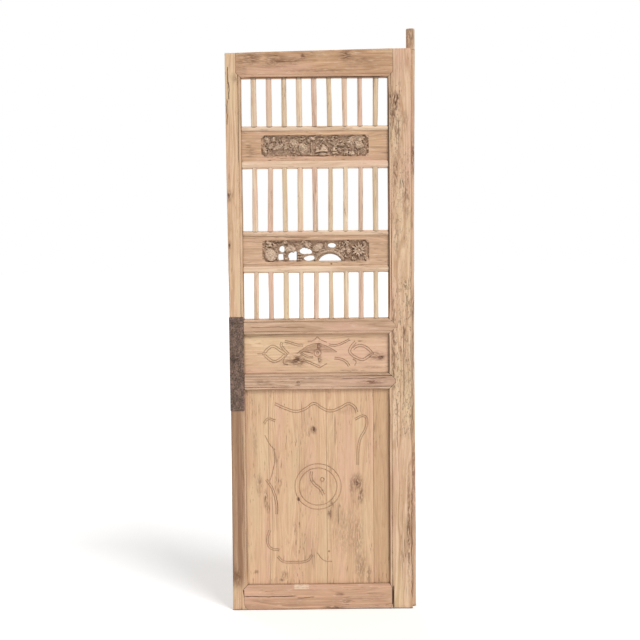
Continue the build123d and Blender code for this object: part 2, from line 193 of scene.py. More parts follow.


# %% [markdown]
# Bare northern elm, hand planed, then weathered and scrubbed: honey tan with a pink
# cast, coarse rings that show as long streaks on the face, dark checks along the
# grain, round knots that push the rings aside, and brown grime with painted shade in
# every corner. An image would repeat and smear. Noise on object coordinates, stretched
# along the member's length, runs through each timber as its rings do.

# %% Pattern helpers, each pattern sized across and along the grain
RING_MM = 5.5
FIBRE_MM = (3.2, 110.0)  # drawn coarser than real elm pores, so that they show
STREAK_MM = (15.0, 520.0)
TICK_MM = (4.2, 34.0)  # the pores of one growth ring, drawn coarser too


def stretched(tree, coords, across_mm, along_mm, grain, **noise):
    """A noise whose cells are across_mm wide and along_mm long, along the grain."""
    scale = [1000 / across_mm] * 3
    scale["XYZ".index(grain)] = 1000 / along_mm
    sized = add(tree, "Mapping", {"Vector": coords, "Scale": scale})
    return add(tree, "TexNoise", {"Vector": sized, "Scale": 1.0, **noise}).outputs["Fac"]


def where_all(tree, *masks):
    """Where all the masks hold: their product."""
    product = masks[0]
    for mask in masks[1:]:
        product = add(tree, "Math", [product, mask], **TIMES)
    return product


def contour(tree, noise, outer, inner=0.0):
    """A thin line where a noise passes its middle, soft from its outer to its inner edge."""
    off = add(tree, "Math", [add(tree, "Math", [noise, 0.5], **MINUS)], **UNSIGNED)
    return add(tree, "MapRange", [off, outer, inner], **SMOOTH)


def spots(tree, coords, places, square=False):
    """Strongest of several soft marks, each (x, z, half width, half height, strength) in mm."""
    strongest = None
    for x, z, half_width, half_height, strength in places:
        away = add(tree, "VectorMath", [coords, (x * MM, 0, z * MM)], **MINUS)
        sized = add(tree, "VectorMath", [away, (1 / (half_width * MM), 0, 1 / (half_height * MM))], **TIMES)
        if square:
            sides = add(tree, "SeparateXYZ", [add(tree, "VectorMath", [sized], **UNSIGNED)]).outputs
            reach, soft_from = add(tree, "Math", [sides["X"], sides["Z"]], **LARGER), 0.82
        else:
            reach, soft_from = add(tree, "VectorMath", [sized], operation="LENGTH").outputs["Value"], 0.1
        spot = add(tree, "MapRange", [reach, 1.0, soft_from, 0.0, strength], **SMOOTH)
        strongest = spot if strongest is None else add(tree, "Math", [strongest, spot], **LARGER)
    return strongest


# %% [markdown]
# Growth rings are one noise along a line through the plank. A slow sway bends them and
# each knot pushes them aside. Where boards are joined edge to edge, the whole pattern
# jumps at the seam, because each board is a plank of its own.

# %% Where the grain runs
SWAY_MM = (60.0, 500.0)
RAGGED_MM = (4.6, 19.0)
KNOT_STRETCH = 1.5  # a knot is longer along the grain than across it
BOARD_JUMP = (0.731, 0.0, 2.17)  # from one joined board to the next, in metres
FACE_REACH_MM = (27, 24)  # behind the front: the marks that belong to the face end here


def lay_grain(tree, grain, seed, knots, seams_mm):
    """The patterns along one member's grain, gathered under their names."""
    coords = add(tree, "TexCoord").outputs["Object"]
    axes = add(tree, "SeparateXYZ", [coords]).outputs
    shifted = add(tree, "Mapping", {"Vector": coords, "Location": (seed, seed * 0.7, seed * 1.3)})
    board = None
    for seam in seams_mm:
        past = add(tree, "Math", [axes["X"], seam * MM], operation="GREATER_THAN")
        board = past if board is None else add(tree, "Math", [board, past], **PLUS)
    if board is not None:
        jump = add(tree, "CombineXYZ", [add(tree, "Math", [board, leap], **TIMES) for leap in BOARD_JUMP])
        shifted = add(tree, "VectorMath", [shifted, jump], **PLUS)

    place = add(tree, "SeparateXYZ", [shifted]).outputs
    ring_place = add(tree, "Math", [place["X" if grain == "Z" else "Z"], 0.55], **TIMES)
    sway = stretched(tree, shifted, *SWAY_MM, grain, Detail=2.0)
    ring_place = add(tree, "Math", [sway, 0.085, ring_place], **TIMES_PLUS)
    ring_place = add(tree, "Math", [place["Y"], 0.8, ring_place], **TIMES_PLUS)
    wide, tall = (1.0, KNOT_STRETCH) if grain == "Z" else (KNOT_STRETCH, 1.0)
    core = spots(tree, coords, [(x, z, radius * wide, radius * tall, 1.0) for x, z, radius in knots])
    if core is not None:
        ring_place = add(tree, "Math", [core, 0.030, ring_place], **TIMES_PLUS)
    rings = add(tree, "TexNoise", {"W": add(tree, "Math", [ring_place, 1000 / RING_MM], **TIMES),
                                   "Scale": 1.0, "Detail": 2.0}, noise_dimensions="1D")
    face_start, face_end = ((frame_front + reach) * MM for reach in FACE_REACH_MM)
    return SimpleNamespace(
        tree=tree, grain=grain, coords=coords, axes=axes, shifted=shifted, board=board, core=core,
        seams=len(seams_mm), rings=rings.outputs["Fac"], curls=0.0,
        fibres=stretched(tree, shifted, *FIBRE_MM, grain, Detail=3.0, Roughness=0.6),
        streaks=stretched(tree, shifted, *STREAK_MM, grain, Detail=3.0, Roughness=0.55),
        ticks=stretched(tree, shifted, *TICK_MM, grain, Detail=2.0, Roughness=0.6),
        ragged=stretched(tree, shifted, *RAGGED_MM, grain, Detail=4.0, Roughness=0.6),
        near_face=add(tree, "MapRange", [axes["Y"], face_start, face_end], **SMOOTH))


# %% [markdown]
# The bare wood is a blend of a light and a dark tan by its rings, fibres and streaks.
# Wide soft patches lean to pink or to straw, as in most planks of elm, and damp has
# left wider brown ones. Short ticks along the grain, dark in patches and pale elsewhere,
# stand for the open pores.

# %% Bare wood
CAST_MM = (70.0, 330.0)
STAIN_MM = (110.0, 260.0)
TICK_PATCH_MM = (60.0, 150.0)


def bare_wood(wood, light, dark, stain, flecks, figure_depth, last_board):
    """Colours the planed wood, and keeps its figure and specks for the surface."""
    tree, along = wood.tree, (wood.tree, wood.shifted)
    figure = add(tree, "Math", [wood.rings, 0.42], **TIMES)
    figure = add(tree, "Math", [wood.fibres, 0.34, figure], **TIMES_PLUS)
    wood.figure = add(tree, "Math", [wood.streaks, 0.34, figure], **TIMES_PLUS)
    deep = add(tree, "MapRange", [wood.figure, 0.36, 0.76, 0.0, figure_depth], **SMOOTH)
    colour = add(tree, "MixRGB", [deep, linear(light), linear(dark)])
    cast = stretched(*along, *CAST_MM, wood.grain, Detail=2.0)
    pink = add(tree, "MapRange", [cast, 0.50, 0.72, 0.0, 0.5], **SMOOTH)
    colour = add(tree, "MixRGB", [pink, colour, linear("#E6B9A2")])
    straw = add(tree, "MapRange", [cast, 0.46, 0.28, 0.0, 0.4], **SMOOTH)
    colour = add(tree, "MixRGB", [straw, colour, linear("#E6CDA4")])
    if last_board:
        on_last = add(tree, "Math", [wood.board, wood.seams - 0.5], operation="GREATER_THAN")
        colour = add(tree, "MixRGB", [on_last, colour, linear(last_board)], blend_type="MULTIPLY")

    blotches = stretched(*along, *STAIN_MM, wood.grain, Detail=5.0, Roughness=0.6, Distortion=0.4)
    damp = add(tree, "MapRange", [blotches, 0.50, 0.78, 0.0, stain], **SMOOTH)
    colour = add(tree, "MixRGB", [damp, colour, linear("#9A755C")])
    patches = stretched(*along, *TICK_PATCH_MM, wood.grain, Detail=3.0)
    wood.specks = where_all(tree, add(tree, "MapRange", [wood.ticks, 0.60, 0.70], **SMOOTH),
                            add(tree, "MapRange", [patches, 0.46, 0.66, 0.1, 0.7], **SMOOTH))
    colour = add(tree, "MixRGB", [wood.specks, colour, linear("#8A654C")])
    pale_ticks = add(tree, "MapRange", [wood.ticks, 0.40, 0.30, 0.0, flecks], **SMOOTH)
    return add(tree, "MixRGB", [pale_ticks, colour, linear("#F4E0CA")])


# %% [markdown]
# Use leaves its own colours: wax and hands darken a stile, rubbing leaves smudges that
# follow the grain, and a scrape shows pale. Each mark has its place on the leaf, and a
# ragged noise breaks its edge, since a clean oval would look painted on.

# %% Marks of use
WING_CURVE = 1.3  # above one, the stained wing's two edges bow upwards


def wing_stain(wood, wing):
    """A mask for the stained wing of the waist motif: middle, foot, half width and height."""
    tree = wood.tree
    middle, foot, half_width, height = (size * MM for size in wing)
    aside = add(tree, "Math", [add(tree, "Math", [wood.axes["X"], middle], **MINUS)], **UNSIGNED)
    aside = add(tree, "Math", [where_all(tree, aside, 1 / half_width), WING_CURVE], operation="POWER")
    rise = where_all(tree, add(tree, "Math", [wood.axes["Z"], foot], **MINUS), 1 / height)
    below = add(tree, "MapRange", [add(tree, "Math", [aside, rise], **PLUS), 1.0, 0.93], **SMOOTH)
    above = add(tree, "MapRange", [rise, 0.02, 0.22], **SMOOTH)
    uneven = add(tree, "MapRange", [wood.ragged, 0.30, 0.62, 0.35, 1.0], **SMOOTH)
    return where_all(tree, below, above, uneven, wood.near_face, 0.75)


def marks_of_use(wood, colour, patina, wing, smudges, pale):
    tree, coords = wood.tree, wood.coords
    if patina:
        uneven = add(tree, "MapRange", [wood.streaks, 0.25, 0.62, 0.55, 1.0], **SMOOTH)
        in_front = add(tree, "MapRange", [wood.axes["Y"], 14 * MM, -20 * MM], **SMOOTH)
        waxed = where_all(tree, spots(tree, coords, patina, square=True), uneven, in_front)
        colour = add(tree, "MixRGB", [waxed, colour, linear("#8F6A52")])
    if wing:
        colour = add(tree, "MixRGB", [wing_stain(wood, wing), colour, linear("#A27F65")])
    if smudges:
        broken = add(tree, "MapRange", [wood.ragged, 0.36, 0.58], **SMOOTH)
        smudge = where_all(tree, spots(tree, coords, smudges), broken)
        colour = add(tree, "MixRGB", [smudge, colour, linear("#765440")])
    if pale:
        broken = add(tree, "MapRange", [wood.ragged, 0.3, 0.6], **SMOOTH)
        scraped = where_all(tree, spots(tree, coords, pale, square=True), wood.near_face, broken)
        colour = add(tree, "MixRGB", [scraped, colour, linear("#F2DCC2")])
    return colour


# %% [markdown]
# Elm checks as it dries. Fine checks come from a thin contour of a long noise, wider
# cracks are placed one by one and wander a little, and torn bark is a contour of a
# shorter, twisted noise. All three also cut into the surface later on. A knot's heart
# is the darkest brown on the wood.

# %% Cracks and knots
CHECK_MM = (9.0, 420.0)
CHECK_PATCH_MM = (45.0, 240.0)
WANDER_MM = (30.0, 40.0)
WANDER_REACH = 0.010
BARK_MM = (9.0, 38.0)


def cracks_and_knots(wood, colour, checks, cracks, gouged):
    """Colours cracks and knots, and keeps the cracks for the surface."""
    tree, along = wood.tree, (wood.tree, wood.shifted)
    in_patches = add(tree, "MapRange", [stretched(*along, *CHECK_PATCH_MM, wood.grain, Detail=1.0),
                                        0.54, 0.64, 0.0, checks], **SMOOTH)
    fine = contour(tree, stretched(*along, *CHECK_MM, wood.grain, Detail=1.0), 0.014)
    crack = where_all(tree, fine, in_patches)
    if cracks:
        wander = add(tree, "Math", [stretched(*along, *WANDER_MM, wood.grain, Detail=3.0), 0.5], **MINUS)
        sideways = "X" if wood.grain == "Z" else "Z"
        shift = add(tree, "CombineXYZ", {sideways: where_all(tree, wander, WANDER_REACH)})
        bent = add(tree, "VectorMath", [wood.coords, shift], **PLUS)
        crack = add(tree, "Math", [crack, spots(tree, bent, cracks, square=True)], **LARGER)
    if gouged:
        bark = stretched(*along, *BARK_MM, wood.grain, Detail=3.0, Roughness=0.6, Distortion=0.8)
        torn = where_all(tree, contour(tree, bark, 0.035),
                         add(tree, "MapRange", [wood.ragged, 0.42, 0.60], **SMOOTH),
                         spots(tree, wood.coords, gouged, square=True))
        crack = add(tree, "Math", [crack, torn], **LARGER)
    wood.crack = crack
    colour = add(tree, "MixRGB", [crack, colour, linear("#664A38")])
    if wood.core is not None:
        heart = where_all(tree, add(tree, "MapRange", [wood.core, 0.20, 0.75, 0.0, 0.85], **SMOOTH),
                          add(tree, "MapRange", [wood.ragged, 0.28, 0.5], **SMOOTH))
        colour = add(tree, "MixRGB", [heart, colour, linear("#6F5040")])
    return colour


# %% [markdown]
# Dust has lain in the carved fields for years and greys them. Over the dust, what
# stands proud is left paler as a painted highlight and the deep ground is painted
# browner as shade, and fine winding chisel lines run through it. Elsewhere brown grime
# and painted shade sit in each joint, groove and recess. Ambient occlusion finds them
# by itself, so no mask has to be painted. Thin dark lines of painted shade are also
# placed one by one along the reveals, under the top rail and in the gaps between parts.

# %% Dust and grime
# Depths of the carved field between which its ground is painted browner, as shade.
FIELD_TOP_MM, FIELD_FLOOR_MM = 10.0, 16.5  # behind the frame's front
CURL_MM = 17.0
GRIME_REACH_MM = 10.0
JOINT_REACH_MM = 3.5


def field_dust_and_shade(wood, colour, field):
    """Dust over a carved field, given by its middle and its half sizes, with its deep ground painted
    browner as shade and what stands proud left paler as a painted highlight.
    """
    tree = wood.tree
    inside = where_all(tree, spots(tree, wood.coords, [(*field, 1.0)], square=True), wood.near_face)
    deep = add(tree, "MapRange", [wood.axes["Y"], (frame_front + FIELD_TOP_MM) * MM,
                                  (frame_front + FIELD_FLOOR_MM) * MM], **SMOOTH)
    # The whole field is paler with dust; after the next step this paleness stays only on what stands proud,
    # as a painted highlight.
    colour = add(tree, "MixRGB", [where_all(tree, inside, 0.6), colour, linear("#E8D2BA")])
    # Painted shade: the deeper the carved ground lies, the browner it is painted.
    colour = add(tree, "MixRGB", [where_all(tree, inside, deep), colour, linear("#BFA188")])
    winding = add(tree, "TexNoise", {"Vector": wood.coords, "Scale": 1000 / CURL_MM, "Detail": 1.0,
                                     "Distortion": 1.6}).outputs["Fac"]
    wood.curls = where_all(tree, contour(tree, winding, 0.045, 0.012), inside)
    return add(tree, "MixRGB", [where_all(tree, wood.curls, 0.42), colour, linear("#7D6250")])


def grime_and_painted_shade(wood, colour, grime_and_shade, painted_shade):
    tree = wood.tree
    # Ambient occlusion darkens joints, grooves, recesses and undersides: partly grime, partly painted
    # shade.
    hollow = add(tree, "AmbientOcclusion", {"Distance": GRIME_REACH_MM * MM}, samples=8).outputs["AO"]
    joint = add(tree, "AmbientOcclusion", {"Distance": JOINT_REACH_MM * MM}, samples=8).outputs["AO"]
    dirt_and_shade = add(tree, "MapRange", [hollow, 0.86, 0.30, 0.0, grime_and_shade], **SMOOTH)
    in_joint = add(tree, "MapRange", [joint, 0.93, 0.62, 0.0, grime_and_shade * 0.9], **SMOOTH)
    dirt_and_shade = add(tree, "Math", [dirt_and_shade, in_joint], **LARGER)
    # Dark lines of painted shade, placed one by one: along the stiles' inner reveals, under the top rail,
    # beside the plate, in the gaps by the pole and the bottom rail, and at the bars' feet.
    if painted_shade:
        painted_shade_lines = where_all(tree, spots(tree, wood.coords, painted_shade, square=True), wood.near_face)
        dirt_and_shade = add(tree, "Math", [dirt_and_shade, painted_shade_lines], **LARGER)
    return add(tree, "MixRGB", [dirt_and_shade, colour, linear("#553C2D")])


# %% [markdown]
# The finish puts these together. Scrubbed elm has no varnish left, so it is rough and
# hardly shines. The eye reads its age from the raised fibres and the open cracks, which
# a bump of about a millimetre gives. IOR 1.45 is usual for wood.

# %% Elm finish
WOOD_IOR = 1.45
RELIEF_MM = 1.4


def elm(name, grain, light="#EDCBA9", dark="#C09673", seed=0.0, stain=0.3, checks=0.6, grime_and_shade=1.0,
        figure_depth=1.0, flecks=0.35, knots=(), smudges=(), patina=(), pale=(), cracks=(),
        gouged=(), painted_shade=(), seams_mm=(), last_board=None, field=None, wing=None):
    """Bare old elm for one member, with its marks and its lines of painted shade at their places in mm."""
    material, tree = new_material(name)
    wood = lay_grain(tree, grain, seed, knots, seams_mm)
    colour = bare_wood(wood, light, dark, stain, flecks, figure_depth, last_board)
    colour = marks_of_use(wood, colour, patina, wing, smudges, pale)
    colour = cracks_and_knots(wood, colour, checks, cracks, gouged)
    if field:
        colour = field_dust_and_shade(wood, colour, field)
    colour = grime_and_painted_shade(wood, colour, grime_and_shade, painted_shade)

    relief = add(tree, "Math", [wood.fibres, 0.7], **TIMES)
    for pattern, height in ((wood.rings, 0.6), (wood.crack, -1.8), (wood.specks, -0.6), (wood.curls, -1.6)):
        relief = add(tree, "Math", [pattern, height, relief], **TIMES_PLUS)
    bump = add(tree, "Bump", {"Height": relief, "Strength": 0.7, "Distance": RELIEF_MM * MM})
    roughness = add(tree, "MapRange", [wood.figure, 0.3, 0.8, 0.88, 0.72], **SMOOTH)
    surface = add(tree, "BsdfPrincipled", {"Base Color": colour, "Roughness": roughness, "IOR": WOOD_IOR,
                                           "Specular IOR Level": 0.25, "Normal": bump})
    add(tree, "OutputMaterial", {"Surface": surface})
    return material


# %% [markdown]
# A real timber is never a perfect prism. Each one starts as a copy of its packed
# solid. Doubles are merged, flat facets are dissolved, the arrises are softened with
# a small bevel, and the piece is sliced along its length so that displacement can
# bend and wear it. The slices are bisect cuts, as by hand. Sculpting would look as
# real, but couldn't be repeated, so cloud patterns push the faces instead.

# %% Worn timber
SEAM_MM = 0.02  # corners of loose triangles that lie closer than this are one
LONG_WAVE = (130.0, 2.5)  # a saw's slow drift: size in mm, and stretch along the grain
TOOL_MARKS = (22.0, 4.0)  # strokes of a hand plane, measured the same way


def activate(piece):
    bpy.ops.object.select_all(action="DESELECT")
    piece.select_set(True)
    bpy.context.view_layer.objects.active = piece


def copy_of_node(node, name):
    """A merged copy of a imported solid, as a piece of its own."""
    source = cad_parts[node]
    piece = bpy.data.objects.new(name, source.data.copy())
    bpy.context.scene.collection.objects.link(piece)
    piece.data.materials.clear()
    activate(piece)
    bpy.ops.object.mode_set(mode="EDIT")
    bpy.ops.mesh.select_all(action="SELECT")
    bpy.ops.mesh.remove_doubles(threshold=SEAM_MM * MM)
    bpy.ops.mesh.customdata_custom_splitnormals_clear()
    bpy.ops.mesh.dissolve_limited(angle_limit=math.radians(1.0))
    bpy.ops.object.mode_set(mode="OBJECT")
    return piece


def apply_modifier(piece, kind, **settings):
    activate(piece)
    modifier = piece.modifiers.new(kind.lower(), kind)
    for field, value in settings.items():
        setattr(modifier, field, value)
    bpy.ops.object.modifier_apply(modifier=modifier.name)


def soften_arrises(piece, width_mm):
    """Bevels the sharp edges, and pulls a corner that overshoots back to the timber's box."""
    box = [(min(v.co[axis] for v in piece.data.vertices), max(v.co[axis] for v in piece.data.vertices))
           for axis in range(3)]
    apply_modifier(piece, "BEVEL", width=width_mm * MM, segments=2, limit_method="ANGLE",
                   angle_limit=math.radians(38), use_clamp_overlap=False)
    for vertex in piece.data.vertices:
        vertex.co = [min(max(place, low), high) for place, (low, high) in zip(vertex.co, box)]


def slice_piece(piece, axis, spacing_mm):
    """Bisects the piece at even places along one axis."""
    low = min(v.co[axis] for v in piece.data.vertices)
    high = max(v.co[axis] for v in piece.data.vertices)
    count = max(1, round((high - low) / (spacing_mm * MM)))
    normal = Vector((0, 0, 0))
    normal[axis] = 1.0
    activate(piece)
    bpy.ops.object.mode_set(mode="EDIT")
    for step in range(1, count):
        bpy.ops.mesh.select_all(action="SELECT")
        bpy.ops.mesh.bisect(plane_co=normal * (low + (high - low) * step / count), plane_no=normal)
    bpy.ops.object.mode_set(mode="OBJECT")


def wear(piece, grain, size_mm, stretch, strength_mm, seed):
    """Displaces the piece by a cloud pattern that is stretched along the grain."""
    bpy.ops.object.empty_add(location=(seed * 1.7, seed * 0.9, seed * 2.3))
    ruler = bpy.context.object
    ruler.scale["XYZ".index(grain)] = stretch
    clouds = bpy.data.textures.new("clouds", "CLOUDS")
    clouds.noise_scale = size_mm * MM
    clouds.noise_depth = 2
    bpy.context.view_layer.update()
    apply_modifier(piece, "DISPLACE", texture=clouds, texture_coords="OBJECT",
                   texture_coords_object=ruler, strength=strength_mm * MM, mid_level=0.5,
                   direction="NORMAL")
    bpy.data.objects.remove(ruler)
    bpy.data.textures.remove(clouds)


def bow(piece, inner_x_mm, outer_x_mm, low_z_mm, high_z_mm, shift_mm):
    """Pushes one side of an upright timber across, most in the middle of its height."""
    group = piece.vertex_groups.new(name="bow")
    for vertex in piece.data.vertices:
        side = (vertex.co.x / MM - inner_x_mm) / (outer_x_mm - inner_x_mm)
        rise = (vertex.co.z / MM - low_z_mm) / (high_z_mm - low_z_mm)
        if side > 0 and 0 < rise < 1:
            group.add([vertex.index], min(side, 1) * math.sin(math.pi * rise), "REPLACE")
    apply_modifier(piece, "DISPLACE", strength=shift_mm * MM, mid_level=0.0, direction="X",
                   vertex_group=group.name)
    piece.vertex_groups.clear()


def finish_piece(piece, node, material, smooth_deg=35):
    """Puts a finished piece in its node's place on the leaf."""
    piece.data.materials.clear()
    piece.data.materials.append(material)
    activate(piece)
    bpy.ops.object.shade_smooth_by_angle(angle=math.radians(smooth_deg))
    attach(piece, "root")
    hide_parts(node)


def worn_timber(node, grain, material, arris_mm=0.8, slice_mm=(9.0, 16.0),
                wave_mm=2.6, tool_mm=0.8, seed=1.0, lean=None):
    """A whole timber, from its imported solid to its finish; slices across, then along."""
    piece = copy_of_node(node, "worn_" + node)
    soften_arrises(piece, arris_mm)
    along = "XYZ".index(grain)
    across = 2 if grain == "X" else 0
    slice_piece(piece, along, slice_mm[1])
    slice_piece(piece, across, slice_mm[0])
    wear(piece, grain, *LONG_WAVE, wave_mm, seed)
    wear(piece, grain, *TOOL_MARKS, tool_mm, seed + 3.0)
    if lean:
        bow(piece, *lean)
    finish_piece(piece, node, material)


# %% [markdown]
# The frame comes first: two stiles, the pivot pole and four stout rails. Their colours
# differ a little, as timbers from different trees do. The lock stile is dark below the
# plate, where hands and wax have been. Knots and smudges sit where they do on the real
# leaf, given by their places across and up in millimetres.

# %% Finishes of the frame
# The lists of thin dark lines, last in a finish where it has them, are painted shade: along the stiles'
# inner reveals, beside the lock plate, under the top rail, and in the gaps by the pole and at the bottom
# rail's ends.
finishes = {
    "lock_stile": elm(
        "scrubbed elm, lock stile", "Z", seed=2.0, stain=0.25, knots=[(-673, 1566, 8), (-675, 1380, 6)],
        smudges=[(-673, 1560, 12, 40, 0.9), (-675, 1380, 10, 24, 0.9), (-682, 1200, 10, 300, 0.6),
                 (-640, 1990, 30, 30, 0.5), (-664, 130, 26, 60, 0.8)],
        patina=[(-664, 450, 30, 390, 0.85), (-640, 450, 12, 380, 0.4)],
        cracks=[(-672, 2000, 1.6, 34, 0.9), (-669, 1945, 1.6, 34, 0.9), (-676, 1868, 1.6, 50, 0.9)],
        painted_shade=[(-624, 1540, 2.6, 452, 0.65), (-624, 470, 2.6, 372, 0.5), (-628, 937, 6, 178, 0.4)]),
    "hinge_stile": elm(
        "scrubbed elm, hinge stile", "Z", "#EFCFAE", "#C49A78", seed=5.0, stain=0.26, checks=1.0,
        smudges=[(-58, 1905, 30, 50, 1.0), (-66, 1850, 14, 60, 0.8), (-50, 1790, 18, 80, 0.7),
                 (-60, 1640, 18, 120, 0.5), (-20, 1560, 20, 140, 0.4), (-56, 1400, 14, 140, 0.5),
                 (-14, 300, 10, 330, 0.9), (-70, 1000, 14, 260, 0.7), (-24, 1830, 22, 60, 0.5)],
        cracks=[(-3, 1000, 1.8, 380, 0.7), (-3, 250, 1.8, 220, 0.9), (-30, 940, 1.5, 150, 0.7),
                (-56, 700, 1.5, 90, 0.6)],
        gouged=[(-38, 960, 38, 330, 0.8), (-58, 1850, 24, 130, 0.8), (-40, 1560, 36, 200, 0.5)],
        painted_shade=[(-86, 1540, 5.5, 452, 0.8), (-86, 973, 2.6, 74, 0.7), (-86, 470, 2.6, 372, 0.7),
              (-72, 46, 2.4, 46, 0.9)]),
    "pivot_pole": elm(
        "scrubbed elm, pivot pole", "Z", "#E8C6A7", "#B28D6F", seed=8.0, stain=0.45,
        smudges=[(0, 2140, 22, 60, 0.8), (8, 1700, 14, 120, 0.9), (8, 1150, 12, 90, 0.8),
                 (8, 500, 14, 260, 0.7)],
        cracks=[(5, 900, 1.6, 260, 0.7)], painted_shade=[(1.5, 1050, 2.0, 1040, 0.7)]),
    "top_rail": elm(
        "weathered elm, top rail", "X", "#E0B793", "#B08867", seed=11.0, stain=0.4, checks=0.9,
        smudges=[(-585, 2060, 60, 34, 0.75), (-500, 2052, 80, 34, 0.7), (-396, 2066, 14, 18, 1.0),
                 (-430, 2050, 40, 24, 0.6), (-240, 2070, 36, 34, 0.9), (-180, 2052, 80, 22, 0.4),
                 (-330, 2016, 180, 12, 0.5), (-620, 2040, 40, 60, 0.4)],
        painted_shade=[(-355, 1990, 272, 3.6, 0.8)]),
    "upper_waist_rail": elm(
        "weathered elm, waist rail", "X", "#E0BD9E", "#B08D71", seed=14.0,
        cracks=[(-500, 1074, 110, 1.4, 0.6)]),
    "lower_waist_rail": elm(
        "weathered elm, lower waist rail", "X", "#DEBCA0", "#A9876D", seed=17.0, knots=[(-426, 868, 8)],
        smudges=[(-150, 866, 75, 13, 0.9), (-560, 866, 60, 18, 0.5), (-400, 880, 120, 8, 0.4)],
        cracks=[(-180, 880, 90, 1.4, 0.7)]),
    "bottom_rail": elm(
        "weathered elm, bottom rail", "X", "#E2B898", "#B48D73", seed=20.0, stain=0.35, checks=1.0,
        smudges=[(-276, 58, 26, 12, 0.8), (-300, 8, 60, 9, 1.0), (-250, 30, 30, 12, 0.7)],
        cracks=[(-540, 52, 106, 1.8, 0.9), (-405, 46, 34, 1.6, 0.7)], pale=[(-421, 88, 30, 10, 0.85)],
        painted_shade=[(-75, 46, 4.2, 42, 1.0), (-641, 46, 3.2, 34, 1.0)]),
}
print("finishes:", [material.name for material in finishes.values()])

# %% Frame timbers
UPRIGHTS = ("lock_stile", "hinge_stile", "pivot_pole")
LOCK_LEAN = (-640, -680, -150, 1750, 4.6)  # the outer edges have worn hollow by a few millimetres
HINGE_LEAN = (-60, -4, 300, 2080, -4.2)
leans = {"lock_stile": LOCK_LEAN, "hinge_stile": HINGE_LEAN, "pivot_pole": HINGE_LEAN}
for order, (node, material) in enumerate(finishes.items()):
    worn_timber(node, "Z" if node in UPRIGHTS else "X", material, arris_mm=1.6, seed=1.0 + order * 5.3,
                lean=leans.get(node))
print("frame timbers:", len(finishes))


# %% [markdown]
# Four slender rails hold the carved boards. Their fronts are rounded in the packed
# model already, so they only need wear. They are scrubbed paler than the stout rails,
# and share one finish, as if ripped from one plank.

# %% Slender rails
rail_elm = elm("scrubbed elm, slender rails", "X", "#F6DCC0", "#D2AD8D", seed=23.0, stain=0.3)
slender_rails = sorted(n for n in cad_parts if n.endswith(("foot_rail", "head_rail")))
for order, node in enumerate(slender_rails):
    worn_timber(node, "X", rail_elm, slice_mm=(12.0, 14.0), wave_mm=1.6,
                seed=40.0 + order * 3.1)
print("slender rails:", len(slender_rails))


# %% [markdown]
# The upright bars were planed by eye, so no two are alike. Each copy of a packed bar is
# sliced and pushed by a long wave of its own, and takes one of three tints in turn. One
# bar copied 27 times would look cast. Thin lines of painted shade darken the bars where
# they meet rails.

# %% Upright bars
FOOT_SHADES = [(-355, 1811.0, 290, 4.0, 0.6), (-355, 1426.5, 290, 4.0, 0.55), (-355, 1988, 290, 3.5, 0.5)]
BAR_WAVE = (60.0, 1.5)  # size in mm, and stretch along the grain
bar_elms = [
    elm("scrubbed elm, pale bars", "Z", "#F6E1C6", "#D1AD8C", seed=31.0, stain=0.25, painted_shade=FOOT_SHADES),
    elm("scrubbed elm, pink bars", "Z", "#F2D5BF", "#CBA58C", seed=37.0, stain=0.35, painted_shade=FOOT_SHADES),
    elm("scrubbed elm, honey bars", "Z", "#EED8BC", "#C8A77F", seed=43.0, stain=0.35, painted_shade=FOOT_SHADES),
]
bars = sorted(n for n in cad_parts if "_bar_" in n)
for order, node in enumerate(bars):
    piece = copy_of_node(node, "worn_" + node)
    slice_piece(piece, 2, 12.0)
    wear(piece, "Z", *BAR_WAVE, 2.4, 70.0 + order * 2.9)
    finish_piece(piece, node, bar_elms[order % len(bar_elms)])
print("bars:", len(bars))


# %% [markdown]
# The panels carry shallow line ornament cut with a small gouge, mostly as two narrow
# round-bottomed grooves side by side. By hand one would draw the lines as curves,
# give them a round bevel, turn them into meshes and subtract them from the panel.
# That is done here too, with a few points a line and smooth handles between them. A
# bump alone would lie flat where light rakes across it.

# %% Grooved lines
GROOVE_RADIUS_MM = 2.1


def round_line(points_mm, centre, radius_mm):
    """A round rod along points given across and up from a centre, as a closed mesh."""
    bpy.ops.object.select_all(action="DESELECT")
    bpy.ops.curve.primitive_bezier_curve_add(location=(0, 0, 0))
    rod = bpy.context.object
    rod.name = "stroke"
    spline = rod.data.splines[0]
    spline.bezier_points.add(len(points_mm) - 2)
    for point, (across, up) in zip(spline.bezier_points, points_mm):
        point.co = (centre.x + across * MM, centre.y, centre.z + up * MM)
        point.handle_left_type = point.handle_right_type = "AUTO"
    rod.data.resolution_u = 5
    rod.data.bevel_depth = radius_mm * MM
    rod.data.bevel_resolution = 1
    rod.data.use_fill_caps = True
    bpy.ops.object.convert(target="MESH")
    return bpy.context.object


def beside(points, gap):
    """The same line moved sideways by a gap, for the second groove of a pair."""
    moved = []
    for place, (across, up) in enumerate(points):
        before, after = points[max(place - 1, 0)], points[min(place + 1, len(points) - 1)]
        run = Vector((after[0] - before[0], after[1] - before[1])).normalized()
        moved.append((across - run.y * gap, up + run.x * gap))
    return moved


